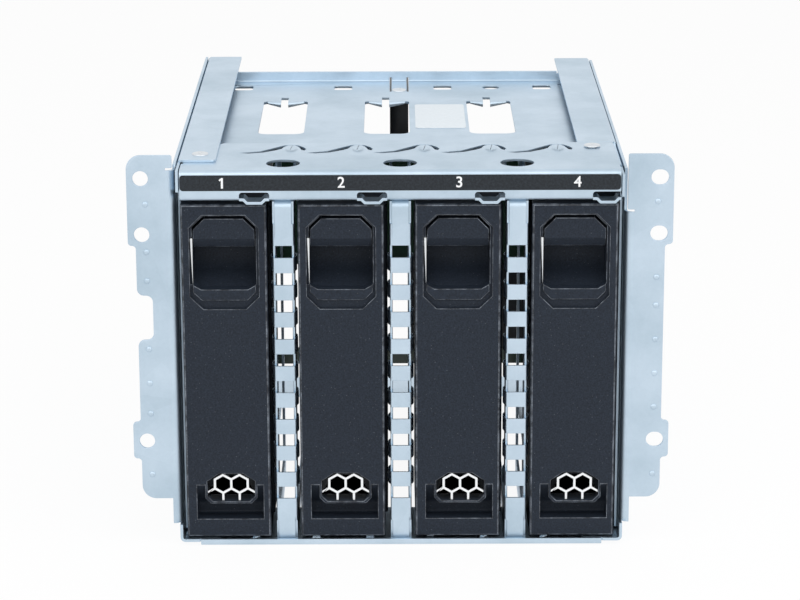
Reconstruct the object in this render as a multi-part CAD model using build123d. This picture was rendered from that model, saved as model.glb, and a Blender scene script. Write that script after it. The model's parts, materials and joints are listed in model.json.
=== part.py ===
from build123d import *
from math import cos, radians, sin, sqrt, tan
import os

# Hot swap drive cage for four upright 3.5 inch drives, in millimetres.
# X runs across the bays, Y runs from the front to the back, Z points up.
# All pieces are built with the front lip's face at Y = 0 and the base at Z = 0,
# and are then moved back so that the origin lies under the middle of the cage.

# Bays
bay_count = 4
bay_pitch = 36.0
divider_width = 6.6
divider_gap = 1.5           # to the blanks beside it

# Sheets
sheet = 0.9                 # side plates, inner walls, front strip, top plate
tray_sheet = 1.0
divider_sheet = 0.8

# Cage
cage_depth = 172.0
cage_height = 122.5         # top of the left rail
side_gap = 0.5              # from an end bay's blank to the inner wall
wall_gap = 0.2              # from an inner wall to its side plate
tray_inset = 4.5            # from the inner wall to the tray's side edge
tray_lip_height = 2.05
lip_play = 0.3
guide_bead_width = 3.0
guide_bead_slope = 0.6
guide_bead_spread = 8.5     # beads stand this far to each side of a blank's middle
guide_bead_margin = 3.0     # from the lip and from the backplane
foot_width = 12.5           # turned-in foot of a side plate
foot_radius = 1.6

# Inner walls and their rails
rail_width = 11.8
right_rail_width = 12.4
rail_radius = 1.0
joggle_gap = 0.4            # from the strip to where the right rail rises level with it
rail_front = 10.9
rail_corner = 1.6
wall_front = 9.0
nose_front = 0.6
nose_height = 7.8

# Mounting flanges, with heights up from the base or down from the flange's top
flange_width = 14.0         # from the side plate's outer face
right_plate_drop = 0.7      # of the right side plate below its rail
flange_step = 2.4           # its edge is set back between the ears
flange_step_corner = 1.15
flange_ease = 0.6           # of its top corner at the side plate
flange_front = 2.0
flange_bend = 3.0
flange_rise = 3.5           # above the top of the cage
flange_corner = 4.4
flange_foot = 15.2
bend_foot = 6.8
bend_relief = 1.3           # of the bend below the cage's top, left
right_bend_relief = 14.8
relief_gap = 0.8
upper_ear_height = 28.5
ear_low = 28.5
ear_high = 40.5
notch_top = 44.4
notch_height = 14.3
notch_depth = 4.8
notch_corner = 2.1
bolt_hole = 4.8
slot_length = 5.4
bolt_inset = 4.3            # from the flange's outermost edge
bolt_drops = (7.3, 25.0)
low_bolt = 34.3

# Front strip
strip_depth = 37.4
strip_inset = 0.3           # from the inner wall
strip_bend = 1.5
strip_relief = 0.6
relief_lead = 1.4           # in front of the rail
strip_shoulder = 6.2        # of the cut at its left rear corner, from its back edge
strip_corner = 2.2
rail_clearance = 0.2
lip_drop = 9.6              # from the strip's top face to the lip's lower edge
return_depth = 6.0
return_front = 0.1
trough_side = 3.8           # from the blank's side to the trough's middle
trough_drop = 1.1
trough_top_half = 3.5
trough_floor_half = 2.4
lip_notch_half = 4.6
lip_notch_height = 2.7
lip_notch_corner = 0.9
access_hole = 10.4
access_hole_back = 10.0
finger_count = 5
finger_pitch = 20.9
finger_shift = 7.7          # of the middle finger from the middle of the strip
finger_setback = 8.4        # of a head's middle from the strip's back edge
finger_half_width = 2.6
finger_half_length = 4.6
finger_proud = 0.4
finger_seat = 0.3
finger_taper = 55
finger_gap = ((-16.4, -5.0), (-9.6, -2.6), (-4.8, 2.6), (-2.4, 5.3), (0.0, 6.1), (2.2, 5.2), (3.9, 2.6),
              (4.7, 0.2), (4.2, -1.9), (3.3, -1.3), (2.9, 0.6), (2.2, 3.2), (1.2, 4.9), (0.0, 5.5),
              (-1.3, 4.9), (-2.4, 3.0), (-3.1, 0.4), (-4.6, -1.4), (-8.7, -4.7), (-13.2, -6.0))
# Top plate, with distances forward from its back edge
plate_step = 4.0            # how far it lies below the strip
plate_front = 36.0
plate_edge_front = 40.0
plate_setback = 20.0        # from the back of the cage
plate_gap = 0.3             # to the rails
plate_edge_height = 2.2
plate_edge_setback = 8.0    # from the plate's back edge
plate_back_height = 4.4
plate_bend = 1.4
plate_back_lap = 6.0        # length of the back edge's ends that reach under the rails
plate_back_play = 0.3
right_back_drop = 0.8       # of the back edge where it passes under the right rail
window_width = 15.1
window_length = 50.4
window_setback = 34.0
window_pitch = 34.7
window_shift = -4.2
window_notch_width = 2.5
window_notch_depth = 6.2
window_notch_shift = -0.5
curl_drop = 1.5
curl_radius = 1.4
curl_inset = 1.3
curl_setback = 0.3          # of its back face in front of the window's edge
curl_overlap = 0.5
rear_hole_width = 6.3
rear_hole_depth = 7.0
rear_hole_corner = 1.2
rear_hole_setback = 11.6
rear_hole_pitch = 34.8
rear_hole_shift = -2.2
rear_hole_count = 4
rear_round_hole = 32.2
rear_round_hole_size = 6.0
tab_half_width = 3.0
tab_slit = 0.7
tab_length = 18.2
tab_rivet_setback = 16.0

# Dividers
divider_depth = 59.8
divider_front = 2.2
neck_width = 5.2
neck_low = 7.5
neck_drop = 7.8             # of the upper neck below the lip
neck_tab = 7.0
neck_bend = 2.7
neck_margin = 0.1
return_gap = 0.6            # behind the strip's return edge
divider_bend = 0.8
divider_window_pitch = 8.72
divider_window_height = 3.9
divider_window_first = 16.85
divider_window_margin = 6.0
divider_window_wrap = 2.4

# Number label on the lip and paper label on the top plate
label_inset = 0.1
label_height = 4.9
label_rise = 3.3            # above the lip's lower edge
label_thickness = 0.2
label_corner = 1.1
paper_width = 16.7
paper_length = 36.5
paper_gap = 1.9             # beside the middle window
paper_setback = 7.9         # behind the windows' front edges
paper_thickness = 0.15
paper_corner = 1.2

# Blanks
blank_depth = 56.2
blank_front = 1.8
blank_shift = -0.3          # from the bay's middle
blank_low = 2.35
blank_gap_above = 0.4       # to the troughs of the strip
blank_wall = 1.5
blank_face = 3.0
blank_chamfer = 0.4

# Recess with the latch
recess_side = 2.6           # from the blank's side
recess_margin = 3.4         # from the blank's top
recess_height = 29.9
recess_chamfer = 4.0
recess_step = 1.2
ledge_height = 5.0
ledge_chamfer = 2.6
ledge_setback = 0.4
ledge_inset = 0.1
cavity_side = 0.8           # from the recess's side
cavity_margin = 0.5
cavity_sill = 6.2
cavity_corner = 2.6
cavity_corner_rise = 1.5
cavity_back = 15.5
sill_depth = 3.5
sill_ease = 2.0
sill_rise = 5.5
sill_radius = 7.0
latch_play = 0.3
paddle_gap = 0.8
paddle_height = 6.4
paddle_slope = 3.0
paddle_nose = 2.4
paddle_ease = 0.4
paddle_front = 1.0          # behind the blank's face
paddle_depth = 5.4
latch_travel = 2.0
catch_width = 3.4
catch_depth = 2.2
catch_corner = 0.5
catch_gap = 0.25            # below the trough, so that the blank can slide
spring_width = 0.75
spring_tip = 0.35
spring_thickness = 0.7
spring_length = 14.6
spring_inset = 0.15
spring_room = 1.5
spring_overhang = 0.2

# Vent and finger scoop
vent_side = 5.7             # from the blank's side
vent_shift = 0.85
vent_low = 14.1
vent_high = 23.4
vent_top_chamfer = 3.8
vent_shoulder = 2.6
vent_low_chamfer = 1.8
vent_rim = 0.7
vent_rim_depth = 5.2
grille_thickness = 0.8
grille_skin = 0.8           # plastic in front of the grille
grille_fit = 0.08
hex_pitch = 5.16
hex_web = 0.75
hex_row_drop = 3.7          # of the upper row's centres below the vent's top
scoop_side = 2.75           # from the blank's side
scoop_shift = 0.55
scoop_low = 8.3
scoop_high = 19.6
scoop_depth = 6.2
scoop_roof = 3.8
scoop_corner = 0.8
scoop_ease = 2.0            # of the corner under its roof

# Backplane
board_thickness = 1.6
board_setback = 12.0        # from the back of the cage
board_low = 10.0
board_gap_above = 20.7      # to the top plate
board_side_gap = 2.7        # to the inner walls
board_corner = 2.0
board_tab_height = 10.0
board_tab_inset = 11.0      # from the board's lower and upper edges
board_tab_margin = 4.6      # of the tab around its screw
air_slot_width = 23.0
air_slot_rise = 6.0         # above the board's lower edge
air_slot_height = 32.0
air_slot_corner = 2.0
screw_inset = 3.3
screw_thread = 3.0
screw_head = 5.6
screw_crown = 3.9
screw_head_height = 1.8
screw_end = 0.6
screw_play = 0.15
drive_socket_width = 7.0
drive_socket_height = 42.0
drive_socket_depth = 8.2
drive_socket_rise = 28.0    # above the board's lower edge
drive_socket_wall = 1.4
drive_socket_end = 2.0
drive_slot_depth = 7.0
drive_blade_width = 1.4
drive_blade_setback = 0.8
drive_blade_end = 3.5
rear_socket_depth = 9.5
rear_socket_rise = 50.0
rear_socket_wall = 1.0
power_socket_width = 21.0
power_socket_height = 9.6
power_socket_middle = 38.0
power_socket_floor = 3.0
power_pin_count = 5
data_socket_width = 20.0
data_socket_height = 7.0
data_socket_middle = -36.0
data_socket_floor = 2.0
data_blade_inset = 3.0
data_blade_width = 1.2
retainer_half_width = 3.3
retainer_depth = 6.0
retainer_arm = 3.0
retainer_lap = 4.0
retainer_grip = 6.0
retainer_fit = 0.1

# Rivets
rivet_head = 5.2
rivet_crown = 3.6
rivet_head_height = 0.8
rivet_shank = 3.0
rivet_play = 0.05
left_rivet_inset = 6.6      # from the wall's outer face
left_rivet_back = 18.6
right_rivet_inset = 8.2
right_rivet_setback = 6.7   # from the strip's back edge
side_rivet_back = 103.0
side_rivet_drop = 12.0
side_rivet_rise = 20.0

# Places across the cage that follow
bay_middles = [(i - (bay_count - 1) / 2) * bay_pitch for i in range(bay_count)]
divider_middles = [(a + b) / 2 for a, b in zip(bay_middles, bay_middles[1:])]
blank_half = (bay_pitch - divider_width) / 2 - divider_gap
recess_half = blank_half - recess_side
cavity_half = recess_half - cavity_side
vent_half = blank_half - vent_side
scoop_half = blank_half - scoop_side
trough_offset = blank_half - trough_side
wall_inner = bay_middles[-1] + blank_half + side_gap
wall_outer = wall_inner + sheet
plate_inner = wall_outer + wall_gap
cage_half_width = plate_inner + sheet
tray_half_width = wall_inner - tray_inset
foot_inner = cage_half_width - foot_width
strip_half_width = wall_inner - strip_inset
plate_half_width = wall_outer - right_rail_width - plate_gap
flange_reach = cage_half_width + flange_width
flange_waist = flange_reach - flange_step
bolt_column = flange_reach - bolt_inset
window_middles = [window_shift + (i - 1) * window_pitch for i in range(3)]
rear_hole_middles = [rear_hole_shift + (i - (rear_hole_count - 1) / 2) * rear_hole_pitch
                     for i in range(rear_hole_count)]
paper_left = window_middles[1] + window_width / 2 + paper_gap
board_half_width = wall_inner - board_side_gap
screw_column = board_half_width - screw_inset

# Heights that follow
strip_top = cage_height - sheet
lip_low = strip_top - lip_drop
trough_low = lip_low - trough_drop
plate_top = strip_top - plate_step
plate_under = plate_top - sheet
strip_under = strip_top - sheet
right_plate_top = strip_top - right_plate_drop
wall_foot = tray_sheet + foot_radius
flange_top = cage_height + flange_rise
bolt_rows = [flange_top - drop for drop in bolt_drops] + [low_bolt]
neck_high = lip_low - neck_drop
divider_window_room = neck_high - divider_window_first - divider_window_margin
divider_window_count = 1 + int(divider_window_room / divider_window_pitch)
label_low = lip_low + label_rise
blank_high = trough_low - blank_gap_above
recess_high = blank_high - recess_margin
recess_low = recess_high - recess_height
ledge_low = recess_low + cavity_sill + cavity_corner_rise - ledge_height
cavity_high = recess_high - cavity_margin
cavity_low = recess_low + cavity_sill
paddle_high = cavity_high - paddle_gap
paddle_low = paddle_high - paddle_height
board_high = plate_under - board_gap_above
board_tab_rows = (board_low + board_tab_inset, board_high - board_tab_inset)
rear_socket_row = board_low + rear_socket_rise
hex_radius = (hex_pitch - hex_web) / sqrt(3)
hex_rim_radius = (hex_pitch + hex_web) / sqrt(3)
hex_row_high = vent_high - hex_row_drop
hex_row_low = hex_row_high - hex_pitch * sqrt(3) / 2

# Places from front to back that follow
board_front = cage_depth - board_setback
board_back = board_front + board_thickness
plate_back = cage_depth - plate_setback
window_back = plate_back - window_setback
window_front = window_back - window_length
rear_hole_back = plate_back - rear_hole_setback
tab_front = plate_back - tab_length
tab_rivet_back = plate_back - tab_rivet_setback
finger_back = strip_depth - finger_setback
left_rivet = (-(wall_outer - left_rivet_inset), left_rivet_back)
right_rivet = (wall_outer - right_rivet_inset, strip_depth - right_rivet_setback)
side_rivet_spots = ((side_rivet_back, side_rivet_rise), (side_rivet_back, cage_height - side_rivet_drop))
middle_shift = (cage_depth - label_thickness) / 2


# Helpers

def block(x0, x1, y0, y1, z0, z1):
    """Box between the given limits."""
    return Pos((x0 + x1) / 2, (y0 + y1) / 2, (z0 + z1) / 2) * Box(x1 - x0, y1 - y0, z1 - z0)


def outline(corners):
    """Flat face through (u, v, radius) corners, each rounded to its radius."""
    count = len(corners)
    turns = []
    for i, (u, v, radius) in enumerate(corners):
        corner = Vector(u, v)
        back = (Vector(*corners[i - 1][:2]) - corner).normalized()
        ahead = (Vector(*corners[(i + 1) % count][:2]) - corner).normalized()
        half = radians(back.get_angle(ahead) / 2)
        reach = radius / tan(half)
        middle = corner
        if radius > 0:
            middle = corner + (back + ahead).normalized() * (radius / sin(half) - radius)
        turns.append((corner + back * reach, middle, corner + ahead * reach, radius))
    edges = []
    for i, (start, middle, end, radius) in enumerate(turns):
        if radius > 0:
            edges.append(ThreePointArc(start, middle, end))
        following = turns[(i + 1) % count][0]
        if (following - end).length > 1e-6:
            edges.append(Line(end, following))
    return make_face(edges)


def folded(path, thickness, radius):
    """Section of a folded sheet: one face follows the path, the sheet lies to its left."""
    near, far = [], []
    last = len(path) - 1
    for i, point in enumerate(path):
        here = Vector(*point)
        into = (here - Vector(*path[max(i, 1) - 1])).normalized() if i else None
        out = (Vector(*path[min(i, last - 1) + 1]) - here).normalized() if i < last else into
        into = into if into is not None else out
        left_in = Vector(-into.Y, into.X)
        left_out = Vector(-out.Y, out.X)
        mitre = (left_in + left_out) * (thickness / (1 + left_in.dot(left_out)))
        turn = into.cross(out).Z
        outer, inner = radius, max(radius - thickness, 0)
        near_radius, far_radius = (outer, inner) if turn > 0 else (inner, outer)
        if i in (0, last):
            near_radius = far_radius = 0
        near.append((here.X, here.Y, near_radius))
        far.append((here.X + mitre.X, here.Y + mitre.Y, far_radius))
    return outline(near + far[::-1])


def along_x(face, x0, x1):
    """Extrude a (Y, Z) section from x0 to x1."""
    return Pos(x0, 0, 0) * extrude(Plane.YZ * face, amount=x1 - x0)


def along_y(face, y0, y1):
    """Extrude an (X, Z) section from y0 to y1."""
    return Pos(0, y1, 0) * extrude(Plane.XZ * face, amount=y1 - y0)


def along_z(face, z0, z1):
    """Extrude an (X, Y) section from z0 to z1."""
    return Pos(0, 0, z0) * extrude(face, amount=z1 - z0)


def rod_x(radius, y, z, x0, x1):
    return Pos((x0 + x1) / 2, y, z) * Rot(0, 90, 0) * Cylinder(radius, x1 - x0)


def rod_y(radius, x, z, y0, y1):
    return Pos(x, (y0 + y1) / 2, z) * Rot(90, 0, 0) * Cylinder(radius, y1 - y0)


def rod_z(radius, x, y, z0, z1):
    return Pos(x, y, (z0 + z1) / 2) * Cylinder(radius, z1 - z0)


def rounded_block(x0, x1, y0, y1, z0, z1, radius):
    """Box whose upright edges are rounded."""
    return along_z(outline([(x0, y0, radius), (x1, y0, radius), (x1, y1, radius), (x0, y1, radius)]), z0, z1)


def on_side(solid, side):
    """The right-hand piece as it is, or mirrored for the left-hand side."""
    return solid if side > 0 else mirror(solid, about=Plane.YZ)


# Sheet metal

def flange_corners(notched, bend_top):
    """Outline of a mounting flange, right-hand side, as (x, z, radius)."""
    inner = plate_inner + flange_bend
    step_low = flange_top - upper_ear_height
    ease = min(flange_step_corner, flange_step / 2)
    corners = [(inner, flange_foot, 0), (flange_waist, flange_foot, flange_corner),
               (flange_waist, ear_low, ease), (flange_reach, ear_low, ease),
               (flange_reach, ear_high, ease), (flange_waist, ear_high, ease)]
    if notched:
        deep = flange_waist - notch_depth
        notch_high = flange_top - notch_top
        notch_low = notch_high - notch_height
        round_off = min(notch_corner, notch_depth / 2, notch_height / 2)
        corners += [(flange_waist, notch_low, round_off), (deep, notch_low, round_off),
                    (deep, notch_high, round_off), (flange_waist, notch_high, round_off)]
    corners += [(flange_waist, step_low, ease), (flange_reach, step_low, ease),
                (flange_reach, flange_top, flange_corner), (cage_half_width, flange_top, flange_ease),
                (cage_half_width, bend_top + relief_gap, 0), (inner, bend_top + relief_gap, 0)]
    return corners


def make_side_plate(side):
    """Outer side plate with its turned-in foot and its mounting flange at the front."""
    top = right_plate_top if side > 0 else cage_height
    path = [(foot_inner, tray_sheet), (cage_half_width, tray_sheet), (cage_half_width, top)]
    plate = along_y(folded(path, sheet, foot_radius), nose_front, cage_depth)
    plate -= block(foot_inner - 1, tray_half_width + lip_play, 0, tray_sheet, 0, tray_lip_height + lip_play)
    bend_back = flange_front + flange_bend
    bend_end = plate_inner + flange_bend
    bend_top = cage_height - (right_bend_relief if side > 0 else bend_relief)
    plate -= block(wall_outer - 1, cage_half_width + 1, -1, bend_back, bend_foot, cage_height + 1)
    path = [(plate_inner, bend_back), (plate_inner, flange_front), (bend_end, flange_front)]
    plate += along_z(folded(path, sheet, flange_bend), bend_foot, bend_top)
    flange_back = flange_front + sheet
    flange = along_y(outline(flange_corners(side < 0, bend_top)), flange_front, flange_back)
    half = bolt_hole / 2
    reach = (slot_length - bolt_hole) / 2
    for row in bolt_rows:
        flange -= rod_y(half, bolt_column - reach * (side > 0), row, flange_front - 1, flange_back + 1)
        if side > 0:
            flange -= rod_y(half, bolt_column + reach, row, flange_front - 1, flange_back + 1)
            flange -= block(bolt_column - reach, bolt_column + reach, flange_front - 1, flange_back + 1,
                            row - half, row + half)
    plate += flange
    for back, row in side_rivet_spots:
        plate -= rod_x(rivet_shank / 2 + rivet_play, back, row, wall_outer - 1, cage_half_width + 1)
    return on_side(plate, side)


def make_inner_wall(side):
    """Inner wall with the rail folded in along its top and two tabs that carry the backplane.

    The left rail lies on the strip. The right one passes under it and then rises level with it."""
    top = cage_height if side < 0 else strip_under
    rail_inner = wall_outer - (rail_width if side < 0 else right_rail_width)
    path = [(wall_outer, wall_foot), (wall_outer, top), (rail_inner, top)]
    joggle = cage_depth if side < 0 else strip_depth + joggle_gap
    wall = along_y(folded(path, sheet, rail_radius), nose_front, joggle)
    if side > 0:
        path = [(wall_outer, wall_foot), (wall_outer, strip_top), (rail_inner, strip_top)]
        wall += along_y(folded(path, sheet, rail_radius), joggle, cage_depth)
        wall += block(rail_inner, wall_inner, joggle, joggle + sheet, top - sheet, strip_top)
    wall -= block(rail_inner - 1, wall_outer + 1, -1, rail_front, top - rail_radius, top + 1)
    wall += block(wall_inner, wall_outer, nose_front, rail_front, top - nose_height, top - sheet)
    wall -= block(wall_inner - 1, wall_outer + 1, -1, wall_front, 0, top - nose_height)
    corner = wall.edges().filter_by(Axis.Z).sort_by_distance(Vector(rail_inner, rail_front, top))[0]
    wall = fillet(corner, rail_corner)
    for row in board_tab_rows:
        tab = block(screw_column - board_tab_margin, wall_inner, board_back, board_back + sheet,
                    row - board_tab_height / 2, row + board_tab_height / 2)
        wall += tab - rod_y(screw_thread / 2 + rivet_play, screw_column, row, board_back - 1, board_back + 2)
    for back, row in side_rivet_spots:
        wall -= rod_x(rivet_shank / 2 + rivet_play, back, row, wall_inner - 1, wall_outer + 1)
    spot = right_rivet if side > 0 else (-left_rivet[0], left_rivet[1])
    wall -= rod_z(rivet_shank / 2 + rivet_play, *spot, top - 2 * sheet, top + 1)
    return on_side(wall, side)


def make_trough(middle):
    """Pressed trough in the strip's return edge that the latch of one bay stands behind."""
    right = min(middle + lip_notch_half, strip_half_width)
    path = [(middle - lip_notch_half, lip_low), (middle - trough_top_half, lip_low),
            (middle - trough_floor_half, trough_low), (middle + trough_floor_half, trough_low),
            (middle + trough_top_half, lip_low), (right, lip_low)]
    return along_y(folded(path, sheet, 0), return_front, return_depth)


def finger_cut(middle):
    """Curved gap of one spring finger: a thin tail that widens beside the head and hooks round it."""
    corners = [(middle + x, finger_back + y, 0) for x, y in finger_gap]
    return along_z(outline(corners), strip_top - sheet - 1, strip_top + 1)


def finger_head(middle):
    """Raised oval head of one spring finger."""
    seat = Pos(middle, finger_back, strip_top - finger_seat)
    face = seat * Ellipse(finger_half_width, finger_half_length)
    return extrude(face, amount=finger_seat + finger_proud, dir=(0, 0, 1), taper=finger_taper)


def make_front_strip():
    """Front strip with its lip, the pressed troughs, access holes and spring fingers."""
    path = [(strip_depth, strip_top), (0, strip_top), (0, lip_low), (return_depth, lip_low)]
    strip = along_x(folded(path, sheet, strip_bend), -strip_half_width, strip_half_width)
    rail_edge = wall_outer - rail_width
    through = (strip_top - sheet - 1, strip_top + 1)
    shoulder = -rail_edge - rail_clearance
    strip -= block(-strip_half_width - 1, shoulder, strip_depth - strip_shoulder, strip_depth + 1, *through)
    corner = strip.edges().filter_by(Axis.Z).sort_by_distance(Vector(shoulder, strip_depth, strip_top))[0]
    strip = fillet(corner, strip_corner)
    strip -= block(-strip_half_width - 1, -strip_half_width + strip_relief,
                   rail_front - relief_lead, strip_depth + 1, *through)
    for bay in bay_middles:
        middle = bay + trough_offset
        left, right = middle - lip_notch_half, middle + lip_notch_half
        notch_high = lip_low + lip_notch_height
        notch = [(left, lip_low - 1, 0), (right, lip_low - 1, 0), (right, notch_high, lip_notch_corner),
                 (left, notch_high, lip_notch_corner)]
        strip -= along_y(outline(notch), -1, return_depth + 1)
        strip += make_trough(middle)
    for middle in divider_middles:
        strip -= rod_z(access_hole / 2, middle, access_hole_back, *through)
    for i in range(finger_count):
        middle = finger_shift + (i - (finger_count - 1) / 2) * finger_pitch
        strip -= finger_cut(middle)
        strip += finger_head(middle)
    for x, y in (left_rivet, right_rivet):
        strip -= rod_z(rivet_shank / 2 + rivet_play, x, y, *through)
    return strip


def make_top_plate():
    """Sunk plate between the rails, with the three windows and the turned-up back edge."""
    path = [(plate_front, strip_under), (plate_front, plate_under), (plate_back, plate_under),
            (plate_back, plate_under + plate_back_height)]
    plate = along_x(folded(path, sheet, plate_bend), -plate_half_width, plate_half_width)
    edge_top = plate_under + plate_edge_height
    path = [(-wall_inner, edge_top), (-wall_inner, plate_under),
            (wall_inner, plate_under), (wall_inner, edge_top)]
    plate += along_y(folded(path, sheet, plate_bend), plate_edge_front, plate_back - plate_edge_setback)
    for side, high in ((-1, plate_back_height), (1, plate_back_height - right_back_drop)):
        path = [(plate_back - plate_back_lap, plate_under), (plate_back, plate_under),
                (plate_back, plate_under + high)]
        ends = sorted((side * (plate_half_width - plate_bend), side * (wall_inner - plate_back_play)))
        plate += along_x(folded(path, sheet, plate_bend), *ends)
    through = (plate_under - 1, plate_top + 1)
    curl_face = window_back - sheet - curl_setback
    path = [(window_back + curl_overlap, plate_top), (curl_face, plate_top),
            (curl_face, plate_under - curl_drop)]
    curl = folded(path, sheet, curl_radius)
    for middle in window_middles:
        left, right = middle - window_width / 2, middle + window_width / 2
        notch_left = middle + window_notch_shift - window_notch_width / 2
        notch_right = notch_left + window_notch_width
        plate -= block(left, right, window_front, window_back, *through)
        plate -= block(notch_left, notch_right, window_back - 3, window_back + window_notch_depth, *through)
        plate += along_x(curl, left + curl_inset, notch_left)
        plate += along_x(curl, notch_right, right - curl_inset)
    for middle in rear_hole_middles:
        plate -= rounded_block(middle - rear_hole_width / 2, middle + rear_hole_width / 2,
                               rear_hole_back - rear_hole_depth / 2, rear_hole_back + rear_hole_depth / 2,
                               *through, rear_hole_corner)
    plate -= rod_z(rear_round_hole_size / 2, rear_round_hole, rear_hole_back, *through)
    for slit in (-tab_half_width, tab_half_width):
        plate -= block(slit - tab_slit / 2, slit + tab_slit / 2, tab_front, plate_back + 1,
                       plate_under - 1, plate_top + plate_bend)
    plate -= rod_z(rivet_shank / 2 + rivet_play, 0, tab_rivet_back, *through)
    return plate


def make_tray():
    """Bottom tray with its turned-up lip, and guide beads where no side plate's foot lies."""
    path = [(0, tray_lip_height), (0, 0), (cage_depth, 0)]
    tray = along_x(folded(path, tray_sheet, tray_sheet), -tray_half_width, tray_half_width)
    half = guide_bead_width / 2
    for bay in bay_middles:
        for side in (-1, 1):
            middle = bay + blank_shift + side * guide_bead_spread
            if abs(middle) + half > foot_inner:
                continue
            bead = [(middle - half, tray_sheet - 0.2, 0), (middle + half, tray_sheet - 0.2, 0),
                    (middle + half - guide_bead_slope, tray_lip_height, 0),
                    (middle - half + guide_bead_slope, tray_lip_height, 0)]
            tray += along_y(outline(bead), tray_sheet + guide_bead_margin, board_front - guide_bead_margin)
    return tray


def make_divider(middle):
    """U-shaped divider whose windows wrap round both of its front bends."""
    half = divider_width / 2
    back = divider_front + divider_depth
    path = [(-half, back), (-half, divider_front), (half, divider_front), (half, back)]
    divider = along_z(folded(path, divider_sheet, divider_bend), tray_sheet, plate_under)
    bend_back = divider_front + divider_bend + neck_margin
    under_lip = lip_low - divider_sheet
    divider -= block(-half - 1, half + 1, 0, bend_back, neck_high, plate_under + 1)
    divider -= block(-half - 1, half + 1, 0, return_depth + return_gap, under_lip, plate_under + 1)
    divider -= block(-half - 1, half + 1, 0, bend_back, 0, neck_low)
    tab_back = divider_front + neck_tab
    path = [(tab_back, lip_low), (divider_front, lip_low), (divider_front, neck_high)]
    divider += along_x(folded(path, divider_sheet, neck_bend), -neck_width / 2, neck_width / 2)
    path = [(divider_front, neck_low), (divider_front, tray_sheet), (tab_back, tray_sheet)]
    divider += along_x(folded(path, divider_sheet, divider_bend), -neck_width / 2, neck_width / 2)
    for i in range(divider_window_count):
        row = divider_window_first + i * divider_window_pitch
        divider -= block(-half - 1, half + 1, 0, divider_front + divider_window_wrap,
                         row - divider_window_height / 2, row + divider_window_height / 2)
    return Pos(middle, 0, 0) * divider


# Labels

def make_number_label():
    half = strip_half_width - label_inset
    high = label_low + label_height
    corners = [(-half, label_low, label_corner), (half, label_low, label_corner),
               (half, high, label_corner), (-half, high, label_corner)]
    return along_y(outline(corners), -label_thickness, 0)


def make_paper_label():
    front = window_front + paper_setback
    return rounded_block(paper_left, paper_left + paper_width, front, front + paper_length,
                         plate_top, plate_top + paper_thickness, paper_corner)


# Blanks, built round X = 0

def octagon(half, low, high, chamfer):
    return outline([(-half + chamfer, low, 0), (half - chamfer, low, 0), (half, low + chamfer, 0),
                    (half, high - chamfer, 0), (half - chamfer, high, 0), (-half + chamfer, high, 0),
                    (-half, high - chamfer, 0), (-half, low + chamfer, 0)])


def vent_outline(grow):
    """Outline of the vent, moved outward by the given distance."""
    half, low, high = vent_half + grow, vent_low - grow, vent_high + grow
    left, right = vent_shift - half, vent_shift + half
    return outline([(left + vent_low_chamfer, low, 0), (right - vent_low_chamfer, low, 0),
                    (right, low + vent_low_chamfer, 0), (right, high - vent_shoulder, 0),
                    (right - vent_top_chamfer, high, 0), (left + vent_top_chamfer, high, 0),
                    (left, high - vent_shoulder, 0), (left, low + vent_low_chamfer, 0)])


def cut_latch_recess(body):
    """Cut the octagon, the cavity with its rounded sill, and the rooms of the latch and its spring."""
    front = blank_front
    step = front + recess_step
    body -= along_y(octagon(recess_half, recess_low, recess_high, recess_chamfer), front - 1, step)
    side_low = cavity_low + cavity_corner_rise
    shoulder = recess_chamfer - cavity_margin
    face = outline([(-cavity_half + cavity_corner, cavity_low, 0),
                    (cavity_half - cavity_corner, cavity_low, 0),
                    (cavity_half, side_low, 0), (cavity_half, cavity_high - shoulder, 0),
                    (cavity_half - shoulder, cavity_high, 0), (-cavity_half + shoulder, cavity_high, 0),
                    (-cavity_half, cavity_high - shoulder, 0), (-cavity_half, side_low, 0)])
    profile = outline([(front, cavity_high, 0), (front, cavity_low, 0),
                       (front + sill_depth, cavity_low, sill_ease),
                       (cavity_back, cavity_low + sill_rise, sill_radius), (cavity_back, cavity_high, 0)])
    cavity = along_y(face, front, cavity_back) & along_x(profile, -cavity_half - 1, cavity_half + 1)
    ledge_half = cavity_half - ledge_inset
    ledge = outline([(-ledge_half + ledge_chamfer, ledge_low, 0), (ledge_half - ledge_chamfer, ledge_low, 0),
                     (ledge_half, ledge_low + ledge_chamfer, 0), (ledge_half, side_low, 0),
                     (-ledge_half, side_low, 0), (-ledge_half, ledge_low + ledge_chamfer, 0)])
    body += along_y(ledge, front + ledge_setback, step + 0.1)
    body -= cavity
    middle = trough_offset - blank_shift
    reach = catch_width / 2 + latch_play
    catch_front = return_depth + latch_play
    body -= block(middle - reach, middle + reach, catch_front, catch_front + catch_depth + 2 * latch_play,
                  paddle_low - latch_travel - 1, blank_high + 1)
    body -= block(-recess_half, -cavity_half + spring_overhang, front, step + spring_room, side_low,
                  side_low + spring_length + latch_play)
    return body


def cut_finger_scoop(body):
    """Cut the sloping scoop, with the vent standing out of it as an open tube."""
    front = blank_front
    inner = blank_half - blank_wall
    skin_back = front + blank_face
    deep = front + scoop_depth
    roof = scoop_low + scoop_roof
    behind = deep + blank_wall
    backing = outline([(skin_back - 0.5, scoop_low - blank_wall, 0), (behind, scoop_low - blank_wall, 0),
                       (behind, roof + blank_wall / 2, 0), (skin_back, scoop_high - blank_wall / 2, 0),
                       (skin_back - 0.5, scoop_high - blank_wall / 2, 0)])
    body += along_x(backing, -inner, inner)
    pocket = outline([(front - 1, scoop_low, 0), (deep, scoop_low, scoop_corner), (deep, roof, scoop_ease),
                      (front, scoop_high, 0), (front - 1, scoop_high, 0)])
    body -= along_x(pocket, scoop_shift - scoop_half, scoop_shift + scoop_half)
    body += along_y(vent_outline(vent_rim), front, front + vent_rim_depth)
    body -= along_y(vent_outline(0), front - 1, behind + 1)
    return body


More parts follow.
